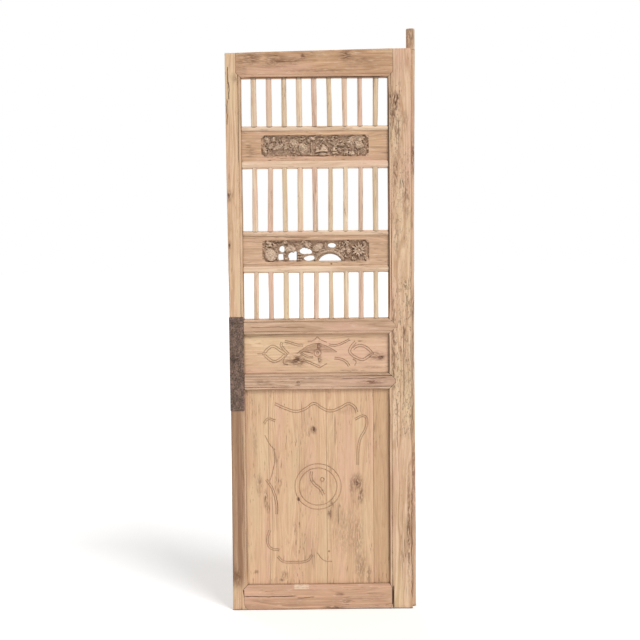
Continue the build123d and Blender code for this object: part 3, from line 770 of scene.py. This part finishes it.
def cut_lines(piece, lines, rings, centre):
    """Cuts paired lines and rings as round-bottomed grooves into a panel's face."""
    cutters = []
    for points, gap in lines:
        cutters.append(round_line(points, centre, GROOVE_RADIUS_MM))
        if gap:
            cutters.append(round_line(beside(points, gap), centre, GROOVE_RADIUS_MM))
    for across, up, radius in rings:
        bpy.ops.mesh.primitive_torus_add(
            location=centre + Vector((across * MM, 0, up * MM)), rotation=(math.pi / 2, 0, 0),
            major_radius=radius * MM, minor_radius=GROOVE_RADIUS_MM * MM,
            major_segments=56, minor_segments=6)
        cutters.append(bpy.context.object)
    for cutter in cutters:
        apply_modifier(piece, "BOOLEAN", object=cutter, operation="DIFFERENCE", solver="EXACT")
        bpy.data.objects.remove(cutter)
    print(piece.name, "grooves:", len(cutters), "faces:", len(piece.data.polygons))


# %% [markdown]
# The skirt is four boards joined edge to edge, and their seams are cut in the packed
# model. Its cartouche of paired lines stops where centuries of scrubbing have rubbed it
# out. In the middle, two rings hold a circle parted by a double curve.

# %% Skirt boards' finish
skirt_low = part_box("skirt_panel")[0]
GROOVE_SEAT_MM = 8  # how far the panel reaches into the lock stile's groove
SEAMS_ACROSS_MM = (87.0, 303.0, 480.0)  # from the lock stile's inner edge
skirt_seams_mm = [skirt_low.x * 1000 + GROOVE_SEAT_MM + across for across in SEAMS_ACROSS_MM]
skirt_elm = elm(
    "scrubbed elm, skirt boards", "Z", "#ECC7A2", "#CCA281", seed=51.0, stain=0.22, grime_and_shade=0.45,
    flecks=0.12, figure_depth=0.9, seams_mm=skirt_seams_mm, last_board="#F0EDE8",
    knots=[(-370, 690, 10), (-429, 422, 9), (-208, 480, 10), (-316, 221, 4)],
    smudges=[(-372, 684, 26, 22, 0.8), (-208, 484, 36, 48, 0.9), (-192, 440, 14, 64, 0.8),
             (-228, 470, 14, 60, 0.6), (-312, 365, 14, 34, 0.9), (-306, 400, 16, 30, 0.6),
             (-591, 143, 12, 12, 0.9), (-485, 130, 22, 24, 0.7), (-495, 112, 14, 10, 0.8),
             (-195, 165, 34, 100, 0.5), (-165, 130, 16, 60, 0.6), (-205, 270, 34, 120, 0.45),
             (-250, 300, 90, 140, 0.3), (-575, 480, 20, 60, 0.5), (-552, 420, 12, 56, 0.9),
             (-545, 385, 12, 26, 0.7), (-590, 640, 16, 90, 0.35), (-240, 760, 60, 24, 0.3)])
print("skirt seams at", [round(seam, 1) for seam in skirt_seams_mm], "mm")

# %% Skirt panel, its lines given across and up from the medallion's middle, in mm
panel_face_y = skirt_low.y
medallion = Vector((-0.3555, panel_face_y, 0.4690))
skirt_lines = [
    ([(-160, 313), (-124, 296), (-81, 283), (-43, 293), (-12, 312), (16, 295), (48, 283), (91, 297),
      (118, 310), (137, 299), (145, 280)], 8.0),
    ([(140, 258), (178, 270), (189, 250), (182, 214), (164, 181), (156, 143), (154, 82)], -7.0),
    ([(-203, 244), (-187, 262), (-157, 256)], -7.0),
    ([(-197, 197), (-181, 164), (-165, 143), (-162, 99), (-170, 60), (-184, 16)], 0.0),
    ([(-197, 27), (-176, -6), (-160, -66), (-160, -104)], 7.0),
    ([(-187, -165), (-197, -203), (-184, -236), (-149, -245)], 7.0),
    ([(-157, -269), (-138, -288), (-97, -293), (-38, -285), (-22, -264)], 7.0),
    ([(-6, -253), (21, -284), (51, -288)], 0.0),
    ([(-28, 58), (-30, 33), (-17, 8), (4, -10), (17, -34)], 8.5),
]
skirt_rings = [(0, 0, 87), (0, 0, 71), (16, 27, 7)]
skirt = copy_of_node("skirt_panel", "worn_skirt_panel")
cut_lines(skirt, skirt_lines, skirt_rings, medallion)
slice_piece(skirt, 2, 18.0)
slice_piece(skirt, 0, 10.0)
wear(skirt, "Z", *LONG_WAVE, 1.3, 90.0)
wear(skirt, "Z", *TOOL_MARKS, 0.5, 93.0)
finish_piece(skirt, "skirt_panel", skirt_elm)


# %% [markdown]
# The waist panel is one board with its grain across. Two pointed eyes flank a spread
# wing under a peak, and the wing was stained dark once. The lines are cut like the
# skirt's. A large knot has bled into the wood between the left eye and the wing.

# %% Waist panel, its lines given across and up from the motif's middle, in mm
waist_elm = elm(
    "scrubbed elm, waist panel", "X", "#F1CEAB", "#CBA482", seed=57.0, stain=0.25, grime_and_shade=0.5,
    flecks=0.12, figure_depth=0.9, wing=(-354.5, 972.0, 84.0, 41.0),
    knots=[(-432, 948, 14), (-117, 957, 12)],
    smudges=[(-428, 949, 50, 34, 1.0), (-416, 950, 26, 36, 1.0), (-440, 945, 64, 16, 0.9),
             (-345, 1000, 12, 30, 0.7), (-343, 950, 12, 26, 0.7), (-135, 962, 50, 28, 0.7),
             (-117, 957, 26, 18, 1.0), (-470, 935, 40, 8, 0.5), (-230, 907, 90, 8, 0.6),
             (-150, 920, 60, 10, 0.4)])
waist_centre = Vector((-0.3545, panel_face_y, 0.9730))
waist_lines = [
    ([(-222, 1), (-204, 1)], 0.0),
    ([(-204, 1), (-185, 23), (-165, 33), (-137, 18), (-112, 0)], -8.0),
    ([(-204, 0), (-183, -21), (-161, -32), (-140, -26), (-114, -2)], 8.0),
    ([(-133, 45), (-137, 33), (-129, 18), (-109, -3)], 7.0),
    ([(-112, -6), (-124, -20), (-126, -34), (-109, -42)], 0.0),
    ([(-120, 44), (-98, 38), (-75, 30), (-52, 29)], 7.0),
    ([(-34, 45), (-12, 50), (1, 63)], 0.0),
    ([(1, 63), (14, 52), (37, 42)], 0.0),
    ([(-75, 1), (-49, 20), (-27, 32), (2, 38), (26, 32), (48, 22), (74, 6)], 0.0),
    ([(-60, 3), (-49, 9), (-34, 5), (-14, 1)], 0.0),
    ([(-62, 0), (-48, -8), (-34, -15), (-14, -16)], 6.0),
    ([(-53, -28), (-30, -36), (9, -54)], 7.0),
    ([(9, -54), (26, -44), (37, -38)], 0.0),
    ([(2, 37), (3, 16)], 0.0),
    ([(3, -12), (8, -34)], 0.0),
    ([(65, -21), (85, -24), (104, -33), (117, -50)], 7.0),
    ([(44, 30), (63, 27), (85, 31), (104, 39), (124, 50)], 6.0),
    ([(141, 45), (122, 22), (118, 6), (126, -7), (149, -22), (171, -28), (190, -19), (212, -1)], 8.0),
    ([(133, 20), (150, 31), (176, 30), (196, 17), (212, -1)], -8.0),
    ([(134, -21), (145, -31), (141, -46)], 0.0),
]
waist_rings = [(2, 2, 13), (2, 2, 4)]
waist = copy_of_node("waist_panel", "worn_waist_panel")
cut_lines(waist, waist_lines, waist_rings, waist_centre)
slice_piece(waist, 0, 16.0)
slice_piece(waist, 2, 9.0)
wear(waist, "X", *LONG_WAVE, 1.2, 95.0)
wear(waist, "X", *TOOL_MARKS, 0.5, 98.0)
finish_piece(waist, "waist_panel", waist_elm)

# %% Battens behind the skirt, of the same wood as the waist
for node in ("skirt_batten_upper", "skirt_batten_lower"):
    worn_timber(node, "X", waist_elm, wave_mm=1.2, seed=99.0)


# %% [markdown]
# The two long boards are carved in low relief: scrolling leaves, blossoms, rocks, a
# small peak and a woven basket, cut from the solid and softened by wear. A carver has
# a few gouge strokes and repeats them, so a few shapes are modelled once: a pointed
# lobe with a vein, an open curl, a ring, a worn rock and a peak. Copies of them, each
# turned and sized, stand on the sunk field. A voxel remesh then melts them into one
# skin with the board, as if all were cut from one plank.

# %% Carver's strokes
def choose(piece, test):
    """Selects the vertices whose place passes the test, and stays in edit mode."""
    if piece.mode == "EDIT":
        bpy.ops.object.mode_set(mode="OBJECT")
    activate(piece)
    bpy.ops.object.mode_set(mode="EDIT")
    bpy.ops.mesh.select_mode(type="VERT")
    bpy.ops.mesh.select_all(action="DESELECT")
    bpy.ops.object.mode_set(mode="OBJECT")
    for vertex in piece.data.vertices:
        vertex.select = test(vertex.co)
    bpy.ops.object.mode_set(mode="EDIT")


def leave_edit(piece):
    """Closes a finished stroke and keeps it out of the picture."""
    bpy.ops.object.mode_set(mode="OBJECT")
    bpy.ops.object.transform_apply(location=True, rotation=True, scale=True)
    piece.hide_render = True


# %% Lobe: a long drop, narrowed and lifted in steps to its tip, with a hollow vein
bpy.ops.object.select_all(action="DESELECT")
bpy.ops.mesh.primitive_uv_sphere_add(segments=12, ring_count=8, radius=0.5, location=(0.5, 0, 0),
                                     rotation=(0, math.pi / 2, 0))
lobe = bpy.context.object
lobe.name = "lobe"
bpy.ops.object.transform_apply()
for cut in (0.45, 0.62, 0.78):
    choose(lobe, lambda co: co.x > cut)
    bpy.ops.transform.resize(value=(1, 0.88, 0.74), center_override=(cut, 0, 0))
    bpy.ops.transform.translate(value=(0, 0, 0.07))
choose(lobe, lambda co: abs(co.z - 0.12 * co.x) < 0.12 and co.y < -0.2 and 0.12 < co.x < 0.9)
bpy.ops.transform.translate(value=(0, 0.18, 0))
leave_edit(lobe)
print("lobe:", len(lobe.data.polygons))

# %% Curl: a small ring drawn round in a shrinking spiral
bpy.ops.mesh.primitive_circle_add(vertices=8, radius=0.13, location=(0.5, 0, 0), fill_type="NOTHING")
curl = bpy.context.object
curl.name = "curl"
bpy.ops.object.transform_apply()
choose(curl, lambda co: True)
for _ in range(11):
    bpy.ops.mesh.extrude_region_move()
    bpy.ops.transform.rotate(value=math.radians(24), orient_axis="Y", center_override=(0, 0, 0))
    bpy.ops.transform.resize(value=(0.93, 0.93, 0.93), center_override=(0, 0, 0))
bpy.ops.mesh.select_all(action="SELECT")
bpy.ops.mesh.fill_holes(sides=0)
bpy.ops.mesh.normals_make_consistent(inside=False)
leave_edit(curl)
print("curl:", len(curl.data.polygons))

# %% Ring: one side a little thicker, as a gouge leaves it
bpy.ops.mesh.primitive_torus_add(major_radius=0.42, minor_radius=0.10, major_segments=20, minor_segments=8,
                                 rotation=(math.pi / 2, 0, 0))
ring = bpy.context.object
ring.name = "ring"
bpy.ops.object.transform_apply()
choose(ring, lambda co: co.z > 0.2)
bpy.ops.transform.resize(value=(0.9, 1.1, 1.08))
leave_edit(ring)
print("ring:", len(ring.data.polygons))

# %% Rock and peak, each with a face worn away
bpy.ops.mesh.primitive_ico_sphere_add(subdivisions=3, radius=0.5)
rock = bpy.context.object
rock.name = "rock"
choose(rock, lambda co: co.x + co.z > 0.35)
bpy.ops.transform.translate(value=(-0.06, 0, -0.08))
choose(rock, lambda co: co.y < -0.34)
bpy.ops.transform.translate(value=(0, 0.10, 0))
leave_edit(rock)

bpy.ops.mesh.primitive_cone_add(vertices=5, radius1=0.5, radius2=0.04, depth=1.0, location=(0, 0, 0.5))
peak = bpy.context.object
peak.name = "peak"
bpy.ops.object.transform_apply()
choose(peak, lambda co: co.z > 0.9)
bpy.ops.transform.translate(value=(-0.08, -0.12, 0))
leave_edit(peak)
masters = (lobe, curl, ring, rock, peak)
print("masters:", [(m.name, len(m.data.polygons)) for m in masters])


# %% [markdown]
# Places on a board are given across and up from its field's middle, so a leaf can be
# read off a drawing and put down by two numbers. Leaves, fans, blossoms and stems are
# small groups of strokes, and foliage scatters lobes by seeded dice, the same each
# time. No stroke is laid where the lower board is pierced.

# %% Placing strokes on a board
FIELD_DEPTH_MM = 9.0
FIELD_MARGINS_MM = (6, 5)  # the board's foot and head lie hidden in the rails' grooves
STROKE_LIFT = 1.55  # the carving stands this much higher than a stroke's stated height
STROKE_MIDDLE = 0.4  # where along its length a stroke is judged
OPENING_RIM_MM = 2
PETAL_HEIGHT_MM, HEART_HEIGHT_MM = 11.0, 17.0
clear = {"lower_carved_board": [  # openings: place, width, height
    (-123.5, 7, 17, 24), (-129, -22, 19, 25), (-87, -20, 27, 34), (-36, 0, 41, 20), (-24, -28, 38, 19),
    (60, 20, 30, 16)]}


def field_point(node, across, up, out=0.0):
    """A point on a carved field: across and up from its middle, out from its floor."""
    low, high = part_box(node)
    middle_up = (low.z + FIELD_MARGINS_MM[0] * MM + high.z - FIELD_MARGINS_MM[1] * MM) / 2
    return Vector(((low.x + high.x) / 2 + across * MM, low.y + (FIELD_DEPTH_MM - out) * MM,
                   middle_up + up * MM))


def stamp(carving, master, across, up, turn, size, out=0.0, hand=1):
    """Adds a copy of a stroke, turned in degrees, sized (length, width, height) in mm."""
    node, strokes = carving
    length, width, height = (part * MM for part in size)
    middle_x = across + size[0] * STROKE_MIDDLE * math.cos(math.radians(turn))
    middle_z = up + size[0] * STROKE_MIDDLE * math.sin(math.radians(turn))
    if any(math.hypot((middle_x - x) / (wide / 2 + OPENING_RIM_MM),
                      (middle_z - z) / (tall / 2 + OPENING_RIM_MM)) < 1
           for x, z, wide, tall in clear.get(node, ())):
        return
    copy = bpy.data.objects.new("stroke", master.data.copy())
    scene.collection.objects.link(copy)
    copy.data.transform(Matrix.Translation(field_point(node, across, up, out))
                        @ Matrix.Rotation(-math.radians(turn), 4, "Y")
                        @ Matrix.Diagonal((length, height * STROKE_LIFT, width * hand, 1)))
    if hand < 0:
        copy.data.flip_normals()
    strokes.append(copy)


def fan(carving, across, up, turn, spread, count, size, hand=1):
    """Lobes that spread from one point like the fingers of a leaf."""
    for place in range(count):
        share = place / max(count - 1, 1) - 0.5
        stamp(carving, lobe, across, up, turn + spread * share,
              (size[0] * (1 - 0.5 * abs(share)), size[1], size[2]), hand=hand if share < 0 else -hand)


def blossom(carving, across, up, radius, petals):
    """Rings of petals about a round heart."""
    for layer, (reach, lift) in enumerate(((1.0, 0.0), (0.62, 2.5))):
        for place in range(petals):
            turn = 360 * (place + 0.5 * layer) / petals
            start = radius * reach * 0.25
            stamp(carving, lobe, across + start * math.cos(math.radians(turn)),
                  up + start * math.sin(math.radians(turn)), turn,
                  (radius * reach * 0.8, radius * 2.2 / petals * reach + 2, PETAL_HEIGHT_MM), lift)
    stamp(carving, rock, across, up, 0, (radius * 0.4, radius * 0.4, HEART_HEIGHT_MM))


def stem(carving, points, radius_mm, out=1.5):
    """A round stem along its points."""
    node, strokes = carving
    strokes.append(round_line(points, field_point(node, 0, 0, out), radius_mm))


def foliage(carving, box, count, length, seed, flow, avoid=()):
    """Small lobes thrown over a stretch of the field, turned by a flowing angle."""
    dice = random.Random(seed)
    left, right, low, high = box
    for _ in range(count):
        across, up = dice.uniform(left, right), dice.uniform(low, high)
        if any(math.hypot((across - x) / rx, (up - z) / rz) < 1 for x, z, rx, rz in avoid):
            continue
        stamp(carving, lobe, across, up, flow(across, up) + dice.uniform(-35, 35),
              (length * dice.uniform(0.7, 1.25), dice.uniform(5.0, 8.0), dice.uniform(9, 15)),
              hand=dice.choice((1, -1)))


# %% [markdown]
# A carver's ground is never flat: close gouge cuts cover it. Over the field a hard,
# winding cloud pattern pushes the skin in, after the remesh that joins all strokes. The
# remesh's skin is then smoothed, as by wear, and thinned to a sensible count.

# %% Gouging and melting
GOUGE_MM, GOUGE_DEPTH_MM = 9.0, 6.0
GROUND_MM = (198, 37)  # half the gouged ground's width and height
GROUND_BACK_MM = 10.5  # behind the board's face
VOXEL_MM = 1.25


def gouge(board, node):
    """Cuts close winding hollows over the field, between the larger forms."""
    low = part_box(node)[0]
    left, right = (field_point(node, side * GROUND_MM[0], 0).x for side in (-1, 1))
    foot, top = (field_point(node, 0, side * GROUND_MM[1]).z for side in (-1, 1))
    field = board.vertex_groups.new(name="field")
    chosen = [v.index for v in board.data.vertices
              if left < v.co.x < right and foot < v.co.z < top and v.co.y < low.y + GROUND_BACK_MM * MM]
    field.add(chosen, 1.0, "REPLACE")
    clouds = bpy.data.textures.new("gouges", "CLOUDS")
    clouds.noise_scale = GOUGE_MM * MM
    clouds.noise_type = "HARD_NOISE"
    clouds.noise_depth = 1
    bpy.ops.object.empty_add(location=(3.0, 0, 3.0))
    ruler = bpy.context.object
    ruler.scale = (1.5, 1.0, 0.9)
    ruler.rotation_euler = (0, 0.4, 0)
    bpy.context.view_layer.update()
    apply_modifier(board, "DISPLACE", texture=clouds, texture_coords="OBJECT", texture_coords_object=ruler,
                   strength=-GOUGE_DEPTH_MM * MM, mid_level=0.55, direction="Y", vertex_group=field.name)
    bpy.data.objects.remove(ruler)
    bpy.data.textures.remove(clouds)
    board.vertex_groups.clear()


def melt(carving, material, openings=()):
    """Opens the board's copy, fuses it with its strokes and gives it its finish."""
    node, strokes = carving
    board = copy_of_node(node, "carved_" + node)
    for opening in openings:
        apply_modifier(board, "BOOLEAN", object=opening, operation="DIFFERENCE", solver="EXACT")
        bpy.data.objects.remove(opening)
    activate(board)
    for stroke in strokes:
        stroke.select_set(True)
    bpy.ops.object.join()
    apply_modifier(board, "REMESH", mode="VOXEL", voxel_size=VOXEL_MM * MM, use_smooth_shade=True)
    gouge(board, node)
    apply_modifier(board, "SMOOTH", factor=0.5, iterations=1)
    apply_modifier(board, "DECIMATE", ratio=0.42)
    finish_piece(board, node, material, smooth_deg=50)
    print(board.name, "triangles:", sum(len(p.vertices) - 2 for p in board.data.polygons))


# %% [markdown]
# The upper board is read from left to right: fans of leaves, an open blossom on its
# stems, worn rocks, a small peak, and a shell of curls under a second blossom. Larger
# forms are placed one by one, and foliage fills the gaps between them.

# %% Upper board: leaves, blossoms and rocks
upper = ("upper_carved_board", [])
fan(upper, -182, 22, 20, 150, 6, (26, 8, 13))
fan(upper, -168, 4, -40, 130, 6, (26, 8, 14))
fan(upper, -190, -18, 20, 120, 5, (24, 8, 13), hand=-1)
fan(upper, -158, 28, -30, 110, 5, (22, 7, 12))
for row in range(5):
    stamp(upper, lobe, -156 + row * 7, -20 + row * 2, 62, (36, 7, 14), hand=-1)
stamp(upper, lobe, -108, -16, 84, (36, 15, 14))
stamp(upper, lobe, -121, 8, 60, (30, 12, 13), hand=-1)
blossom(upper, -78, 9, 16, 7)
stamp(upper, ring, -78, 9, 0, (34, 34, 20), 2)
stem(upper, [(-104, -38), (-92, -18), (-84, -8)], 3.0)
stem(upper, [(-88, -38), (-76, -22), (-66, -6), (-58, 12)], 3.0)
stem(upper, [(-70, -38), (-80, -26), (-96, -8), (-100, 6)], 2.6)
stem(upper, [(-64, -36), (-52, -28), (-40, -34)], 2.6)
stamp(upper, rock, -42, -8, 8, (36, 48, 14))
blossom(upper, -23, 19, 9, 6)
stamp(upper, rock, -9, 28, -8, (30, 15, 15))
stem(upper, [(-12, 14), (-13, -4), (-11, -20), (-16, -34)], 3.4, 2.5)
stem(upper, [(-50, -33), (-20, -30), (6, -33), (22, -27), (48, -33)], 2.8)
stem(upper, [(4, 12), (10, 22), (20, 27), (34, 22)], 2.6)
stamp(upper, peak, 34, -21, 0, (46, 28, 16))
stamp(upper, peak, 12, -22, 8, (22, 22, 16))
stamp(upper, rock, 30, -30, 0, (34, 14, 14))
stem(upper, [(12, -8), (22, 8), (34, 17), (44, 4), (56, -10)], 2.2, 3)
foliage(upper, (52, 112, -32, 16), 34, 20, 5, lambda across, up: 12 * math.sin(across / 9))
foliage(upper, (-60, 60, 12, 38), 16, 17, 9, lambda across, up: 20 * math.cos(across / 14),
        avoid=[(-23, 19, 14, 14), (-9, 28, 20, 12)])
foliage(upper, (-198, -130, -38, 38), 22, 18, 13, lambda across, up: 60 + across)
for row in range(4):
    stamp(upper, lobe, 108 + row * 9, -38 + row, 76, (28, 7, 14))
blossom(upper, 134, 22, 15, 8)
for row in range(5):
    stamp(upper, curl, 142, -4 + row * 4, 20, (34 + row * 12, 24 + row * 7, 34))
fan(upper, 150, 2, 10, 140, 7, (30, 8, 14))
stamp(upper, lobe, 168, -14, 78, (40, 16, 14))
stamp(upper, rock, 139, -29, 0, (22, 18, 18))
foliage(upper, (112, 172, -34, 34), 18, 16, 21, lambda across, up: 90 - across)
foliage(upper, (-130, -48, -38, 38), 26, 17, 25, lambda across, up: 40 + across / 2,
        avoid=[(-78, 9, 17, 17)])
foliage(upper, (-20, 110, -38, 38), 26, 17, 29, lambda across, up: 15 * math.sin(across / 11),
        avoid=[(34, -12, 26, 20)])
foliage(upper, (160, 200, -38, 38), 14, 16, 33, lambda across, up: 80)
upper_elm = elm("carved elm, dust and painted shade, upper board", "X", "#E4BC99", "#B48F6F", seed=63.0,
                grime_and_shade=0.38, field=(-355.5, 1743.0, 207.0, 41.0),
                smudges=[(-600, 1742, 18, 14, 0.6), (-590, 1720, 30, 30, 0.4)])
melt(upper, upper_elm)


# %% [markdown]
# The lower board is carved right through in places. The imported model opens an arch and
# six plain ovals. The ovals get their own outlines here, in the clean copy of the board,
# because a cut through a remeshed skin can leave a loose plug.

# %% Openings through the lower board
BROACH_MM = 60  # longer than the board is thick


def broach(across, up, width, height, turn=0, shape="oval"):
    """A prism that opens the board: its place and size on the field in mm."""
    bpy.ops.object.select_all(action="DESELECT")
    if shape == "oval":
        bpy.ops.mesh.primitive_cylinder_add(vertices=24, radius=0.5, depth=BROACH_MM * MM)
        bpy.context.object.data.transform(Matrix.Rotation(math.pi / 2, 4, "X"))
    else:
        bpy.ops.mesh.primitive_cube_add(size=1.0)
        bpy.context.object.data.transform(Matrix.Diagonal((1, BROACH_MM * MM, 1, 1)))
    cutter = bpy.context.object
    if shape == "wedge":
        choose(cutter, lambda co: co.x < 0 and co.z > 0)
        bpy.ops.transform.translate(value=(0.75, 0, 0))
        bpy.ops.object.mode_set(mode="OBJECT")
    cutter.data.transform(Matrix.Translation(field_point("lower_carved_board", across, up))
                          @ Matrix.Rotation(-math.radians(turn), 4, "Y")
                          @ Matrix.Diagonal((width * MM, 1, height * MM, 1)))
    return cutter


# %% Lower board: basket, leaves and an arch
lower = ("lower_carved_board", [])
stamp(lower, rock, -166, -12, 0, (48, 52, 22))
for row in range(5):
    for column in range(5):
        across, up = (column - 2) * 9 + (row % 2) * 4.5, (row - 2) * 9.5
        if math.hypot(across / 22, up / 24) < 1:
            bulge = 7 - 5 * math.hypot(across / 24, up / 26)
            stamp(lower, ring, -166 + across, -12 + up, 45, (11, 11, 14), bulge)
stem(lower, [(-192, -2), (-178, 17), (-160, 18), (-145, 4), (-141, -34)], 3.0, 2.5)
fan(lower, -176, 24, 30, 150, 6, (22, 7, 12))
foliage(lower, (-192, -30, 20, 38), 34, 18, 31, lambda across, up: 25 * math.sin(across / 12))
stem(lower, [(-142, 22), (-120, 24), (-112, 12)], 3.0)
stem(lower, [(-136, -8), (-124, -8), (-112, -14)], 3.4, 2.5)
stamp(lower, rock, -104, 8, 20, (26, 24, 18))
stamp(lower, rock, -84, 8, -20, (26, 24, 18))
stamp(lower, lobe, -95, 22, -92, (26, 26, 18))
for row in range(4):
    stamp(lower, lobe, -116 + row * 5, -38, 84, (24, 5, 13))
for row in range(4):
    for column in range(3):
        stamp(lower, rock, -65 + column * 9, -32 + row * 10, 40, (11, 8, 14))
fan(lower, -30, 26, -60, 170, 7, (24, 8, 13))
stamp(lower, rock, 8, 14, 30, (46, 30, 16))
stamp(lower, lobe, 24, 2, 170, (40, 14, 14))
stem(lower, [(38, 32), (34, 20), (38, 8)], 3.0, 2.5)
stem(lower, [(-4, -34), (10, -16), (34, -4), (56, -1), (80, -9), (96, -22), (104, -36)], 5.0, 2.0)
stem(lower, [(-6, -24), (8, -8), (32, 5), (56, 8), (82, 1), (102, -14)], 3.4, 1.5)
fan(lower, 92, 0, -10, 110, 4, (20, 8, 13))
stamp(lower, lobe, 104, 38, -36, (38, 16, 15))
stamp(lower, lobe, 122, -14, 88, (32, 18, 16))
for petal in range(12):
    turn = petal * 0.524  # twelve petals, in radians
    stamp(lower, lobe, 160 + 6 * math.cos(turn), 2 + 6 * math.sin(turn), petal * 30,
          (29 if petal % 2 else 22, 8, 19))
stamp(lower, rock, 160, 2, 0, (12, 12, 24))
fan(lower, 178, 24, 30, 160, 5, (18, 7, 13))
fan(lower, 142, -26, 230, 150, 5, (18, 7, 13))
foliage(lower, (84, 128, -38, 36), 30, 18, 41, lambda across, up: 70 - up)
foliage(lower, (128, 196, -38, 38), 24, 15, 44,
        lambda across, up: math.degrees(math.atan2(up, across - 160)), avoid=[(160, 2, 34, 32)])
lower_elm = elm("carved elm, dust and painted shade, lower board", "X", "#E5BE9E", "#B89476", seed=67.0,
                grime_and_shade=0.38, field=(-355.5, 1356.5, 207.0, 41.0), smudges=[(-298, 1308, 6, 5, 1.0)])
openings = [broach(-123.5, 7, 17, 24), broach(-129, -22, 17, 22, 4, "block"),
            broach(-86, -18, 30, 33, 0, "wedge"), broach(-34, 0, 42, 20, -18), broach(-22, -27, 40, 19, 8),
            broach(60, 20, 30, 16)]
melt(lower, lower_elm, openings)
for master in masters:
    bpy.data.objects.remove(master)


# %% [markdown]
# The lock plate is thin iron, beaten flat and folded round the stile. Years of rust
# and oil left it dark grey-brown, speckled, and dull. Iron is a metal, but under rust
# it reflects little, so metallic stays low and roughness high.

# %% Iron plate
RUST_MM = (14.0, 22.0)
PIT_MM = (5.0, 6.0)  # drawn coarser than real pits, so that they show
iron, tree = new_material("hand-forged iron, oiled and rusted")
coords = add(tree, "TexCoord").outputs["Object"]
rust = stretched(tree, coords, *RUST_MM, "Z", Detail=6.0, Roughness=0.65)
pits = stretched(tree, coords, *PIT_MM, "Z", Detail=4.0)
brown = add(tree, "MapRange", [rust, 0.35, 0.70], **SMOOTH)
colour = add(tree, "MixRGB", [brown, linear("#6A5548"), linear("#94786A")])
dark_pits = add(tree, "MapRange", [pits, 0.45, 0.66, 0.0, 0.8], **SMOOTH)
colour = add(tree, "MixRGB", [dark_pits, colour, linear("#42352F")])
pale_specks = add(tree, "MapRange", [pits, 0.42, 0.30, 0.0, 0.5], **SMOOTH)
colour = add(tree, "MixRGB", [pale_specks, colour, linear("#A08A78")])
# Three darker spots at fixed places on the plate, broken up by the rust pattern.
dark_plate_spots = spots(tree, coords, [(-664, 955, 17, 8, 1.0), (-669, 1090, 8, 16, 0.8), (-652, 1094, 6, 14, 0.8)])
dark_plate_spots = where_all(tree, dark_plate_spots, add(tree, "MapRange", [rust, 0.35, 0.55], **SMOOTH))
colour = add(tree, "MixRGB", [dark_plate_spots, colour, linear("#33292A")])
pitted = add(tree, "Bump", {"Height": pits, "Strength": 0.7, "Distance": 1.0 * MM})
surface = add(tree, "BsdfPrincipled", {"Base Color": colour, "Metallic": 0.3, "Roughness": 0.72,
                                       "Normal": pitted})
add(tree, "OutputMaterial", {"Surface": surface})
worn_timber("lock_plate", "Z", iron, arris_mm=0.3, wave_mm=0.6, tool_mm=0.5,
            seed=120.0, lean=LOCK_LEAN)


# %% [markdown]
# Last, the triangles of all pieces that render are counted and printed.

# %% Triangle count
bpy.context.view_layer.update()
shown = [o for o in bpy.data.objects if o.type == "MESH" and not o.hide_render]
print("triangles:", sum(len(p.vertices) - 2 for o in shown for p in o.data.polygons))
